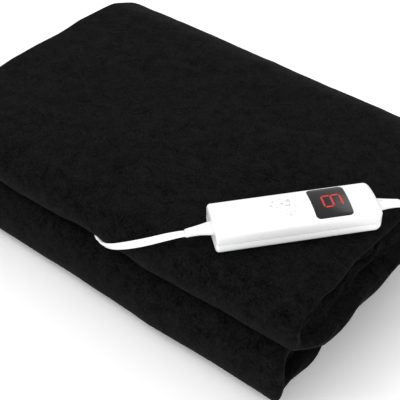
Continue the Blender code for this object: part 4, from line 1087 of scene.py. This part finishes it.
def half_shell(name, side, cuts, node):
    """One half of the hollow casing: side is 1 for the top half and -1 for the bottom."""
    shell = mesh_object(name, casing_body(0.0), CASING_WHITE)
    combine(shell, tool(casing_body(CASE_WALL)), "DIFFERENCE")
    far_half = box_tool((0.3, 0.2, 0.06), (0, 0, CASE_SPLIT + side * (SEAM / 2 - 0.03)))
    combine(shell, far_half, "DIFFERENCE")
    for cut in cuts:
        combine(shell, cut(), "DIFFERENCE")
    neck_openings(shell)
    soften(shell, 0.00025)
    finish_piece(shell, "casing_white", node)


def casing():
    half_shell("casing_top", 1, [
        lambda: tool(rounded_block(WINDOW["length"], WINDOW["width"], 0.015, 0.04,
                                   WINDOW["corner"], (WINDOW["at"], 0))),
        lambda: rod_tool(BUTTON_RADIUS + 0.00015, 0.015, 0.04, (BUTTON_AT, 0)),
    ], "controller_top_shell")
    half_shell("casing_bottom", -1, [
        lambda x=x, y=y: rod_tool(0.0028, -0.01, 0.0019, (x, y), 24)
        for x in (-SCREW_AT[0], SCREW_AT[0]) for y in (-SCREW_AT[1], SCREW_AT[1])
    ], "controller_bottom_shell")


def arched_plate(length, width, top_inset, thickness, corner):
    count = 32
    ys = [width * (k / count - 0.5) for k in range(count + 1)]
    upper = [(y, arch_height(y, top_inset)) for y in ys]
    lower = [(y, arch_height(y, top_inset + thickness)) for y in reversed(ys)]
    obj = mesh_object("plate", loft([[(x, y, z) for y, z in upper + lower]
                                     for x in (WINDOW["at"] - length / 2,
                                               WINDOW["at"] + length / 2)]))
    combine(obj, tool(rounded_block(length, width, 0.01, 0.04, corner, (WINDOW["at"], 0))),
            "INTERSECT")
    return obj


def display():
    lens = arched_plate(WINDOW["length"] - 0.0004, WINDOW["width"] - 0.0004, 0.0, 0.0030,
                        WINDOW["corner"])
    lens.name = "display_lens"
    lens.data.materials.clear()
    lens.data.materials.append(WINDOW_BLACK)
    soften(lens, 0.0003)
    finish_piece(lens, "window_black", "display_window")

    half_l = (DIGIT_LENGTH - DIGIT_STROKE) / 2
    half_w = (DIGIT_WIDTH - DIGIT_STROKE) / 2
    strokes = {
        "top": (half_l, 0, "y"), "middle": (0, 0, "y"), "bottom": (-half_l, 0, "y"),
        "upper_left": (half_l / 2, half_w, "x"), "upper_right": (half_l / 2, -half_w, "x"),
        "lower_left": (-half_l / 2, half_w, "x"), "lower_right": (-half_l / 2, -half_w, "x"),
    }
    for name, (x, y, axis) in strokes.items():
        run = (2 * half_w if axis == "y" else half_l) - 0.0007
        lit = name != "upper_right"
        bar = light_bar(x, y, axis, run, 0.00012 if lit else 0.00003)
        bar.name = "digit_bar_" + name
        bar.data.materials.append(SEGMENT_RED if lit else SEGMENT_DARK)
        finish_piece(bar, "segment_red" if lit else "segment_dark", "digit_segment_" + name)


def light_bar(x, y, axis, run, proud):
    """One stroke of the digit: a thin pointed bar that follows the window's arch."""
    half, tip, wide = run / 2, DIGIT_STROKE / 2, DIGIT_STROKE / 2
    spots = [-half, -half + tip] + [(-half + tip) + (run - 2 * tip) * k / 8 for k in range(1, 9)]
    spots += [half]
    rings = []
    for s in spots:
        reach = wide * min(1.0, (half - abs(s)) / tip) + 0.00002
        ring = []
        for side, deep in ((-1, 1), (-0.75, 0), (0.75, 0), (1, 1)):
            a, b = (s, side * reach) if axis == "x" else (side * reach, s)
            px, py = DIGIT_AT + x + a, y + b
            ring.append((px, py, arch_height(py, -proud if not deep else 0.0004)))
        rings.append(ring)
    return mesh_object("bar", loft(rings), None, 30)


def power_button():
    cap = mesh_object("button_cap", casing_body(0.0), CASING_WHITE)
    combine(cap, rod_tool(BUTTON_RADIUS - 0.00005, 0.0205, 0.04, (BUTTON_AT, 0)), "INTERSECT")
    soften(cap, 0.0002, 2)
    finish_piece(cap, "casing_white", "power_button", body="button")


def neck(name, side):
    """Tapered flat strain relief with a small sink mark near the casing."""
    rings = []
    stations = 26
    inside = 0.0030
    for i in range(stations + 1):
        x = -inside + (NECK_LENGTH + inside) * i / stations
        t = max(0.0, x / NECK_LENGTH)
        ease = 1 - (1 - t) ** 2
        width = NECK_ROOT[0] + (NECK_TIP[0] - NECK_ROOT[0]) * ease
        height = NECK_ROOT[1] + (NECK_TIP[1] - NECK_ROOT[1]) * ease
        if x > NECK_LENGTH - 0.0016:
            pinch = 0.0010 * smoothstep((x - NECK_LENGTH + 0.0016) / 0.0016)
            width, height = width - pinch, height - pinch
        middle = NECK_HEIGHT - NECK_DROP * t * t
        power = 2 / 3.2
        ring = []
        for k in range(36):
            y, z = squarish(math.tau * k / 36, width / 2, height / 2, power, power)
            ring.append((side * (CASE_LENGTH / 2 + SEAM + x), y, middle + z))
        rings.append(ring)
    obj = mesh_object(name + "_sleeve", loft(rings), NECK_WHITE, 40)
    dot = rod_tool(0.00055, NECK_HEIGHT + 0.0025, 0.03, (side * (CASE_LENGTH / 2 + 0.0048), 0.0012),
                   16)
    combine(obj, dot, "DIFFERENCE")
    smooth_faces(obj.data)
    finish_piece(obj, "neck_white", name)


casing()
display()
power_button()
neck("lead_neck", -1)
neck("mains_neck", 1)


# ---------------------------------------------------------------- small parts
def binding(name, node):
    """Folded tape along a free edge, with rounded sides, a little wavy as sewn tape is."""
    low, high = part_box(node)
    start, end = low.x + 0.012, high.x - 0.018
    half_thick, half_tall = (high.y - low.y) / 2, (high.z - low.z) / 2 - 0.0025
    middle = (low + high) / 2
    rings = []
    stations = 90
    for i in range(stations + 1):
        x = start + (end - start) * i / stations
        drift = 0.0004 * wander(12, x, 0.03)
        taper = min(1.0, (0.02 + min(i, stations - i)) / 1.5)
        ring = []
        for k in range(20):
            y, z = squarish(math.tau * k / 20, half_thick * taper,
                            half_tall * (0.9 + 0.1 * taper), 0.6, 0.35)
            ring.append((x, middle.y + y, middle.z + drift + z))
        rings.append(ring)
    stand_for(mesh_object(name, loft(rings), TAPE_BLACK, 50), "binding_black", node)


binding("binding_lower", "edge_binding_lower")
binding("binding_upper", "edge_binding_upper")

CAD_FINISHES = [
    (FELT, "heating_felt"), (WIRE_RED, "heating_wire"), (TAPE_BLACK, "socket_patch"),
    (BLACK_MOULDING, "digit_module"), (BLACK_MOULDING, "tact_switch"),
    (BLACK_MOULDING, "tact_actuator"), (BLACK_MOULDING, "triac"),
    (BLACK_MOULDING, "microcontroller"), (BLACK_MOULDING, "connector_socket"),
    (BLACK_MOULDING, "connector_latch"), (BOARD_GREEN, "control_board"),
    (TERMINAL_GREEN, "terminal"), (AMBER, "filter_capacitor"), (BRASS, "fuse_clip"),
    (GLASS, "fuse"), (STEEL, "heat_sink"), (STEEL, "latch_pin"), (STEEL, "casing_screw"),
    (CONDUCTOR_BROWN, "conductor"), (BRASS, "_pin_"), (BRASS, "contact"),
]
for node_name, node in nodes.items():
    finish = next((paint for paint, part in CAD_FINISHES if part in node_name), None)
    if finish:
        node.data.materials.clear()
        node.data.materials.append(finish)


# ---------------------------------------------------------------- floor and light
def studio():
    bm = bmesh.new()
    bmesh.ops.create_grid(bm, x_segments=1, y_segments=1, size=6.0)
    floor = mesh_object("floor", bm)
    floor.location = (0, 0, -0.0002)
    paint = bpy.data.materials.new("floor_white")
    paint.use_nodes = True
    paint.node_tree.nodes["Principled BSDF"].inputs["Base Color"].default_value = grey(0.92)
    paint.node_tree.nodes["Principled BSDF"].inputs["Roughness"].default_value = 0.7
    floor.data.materials.append(paint)
    world = bpy.data.worlds.new("world")
    bpy.context.scene.world = world
    world.use_nodes = True
    world.node_tree.nodes["Background"].inputs["Color"].default_value = (1, 1, 1, 1)
    world.node_tree.nodes["Background"].inputs["Strength"].default_value = 0.9

    def area(name, where, aim, size, energy):
        data = bpy.data.lights.new(name, "AREA")
        data.size = size
        data.energy = energy
        lamp = link(bpy.data.objects.new(name, data))
        lamp.location = where
        lamp.rotation_euler = (Vector(aim) - Vector(where)).to_track_quat("-Z", "Y").to_euler()

    area("key", (-0.9, -0.9, 1.6), (0, 0, 0.05), 0.9, 14)
    area("back", (0.2, 1.5, 1.2), (0, 0, 0.05), 1.2, 10)
    area("fill", (0.85, -1.05, 0.50), (0.16, -0.06, 0.12), 0.9, 6.5)
    bpy.context.scene.view_settings.view_transform = "Standard"


studio()
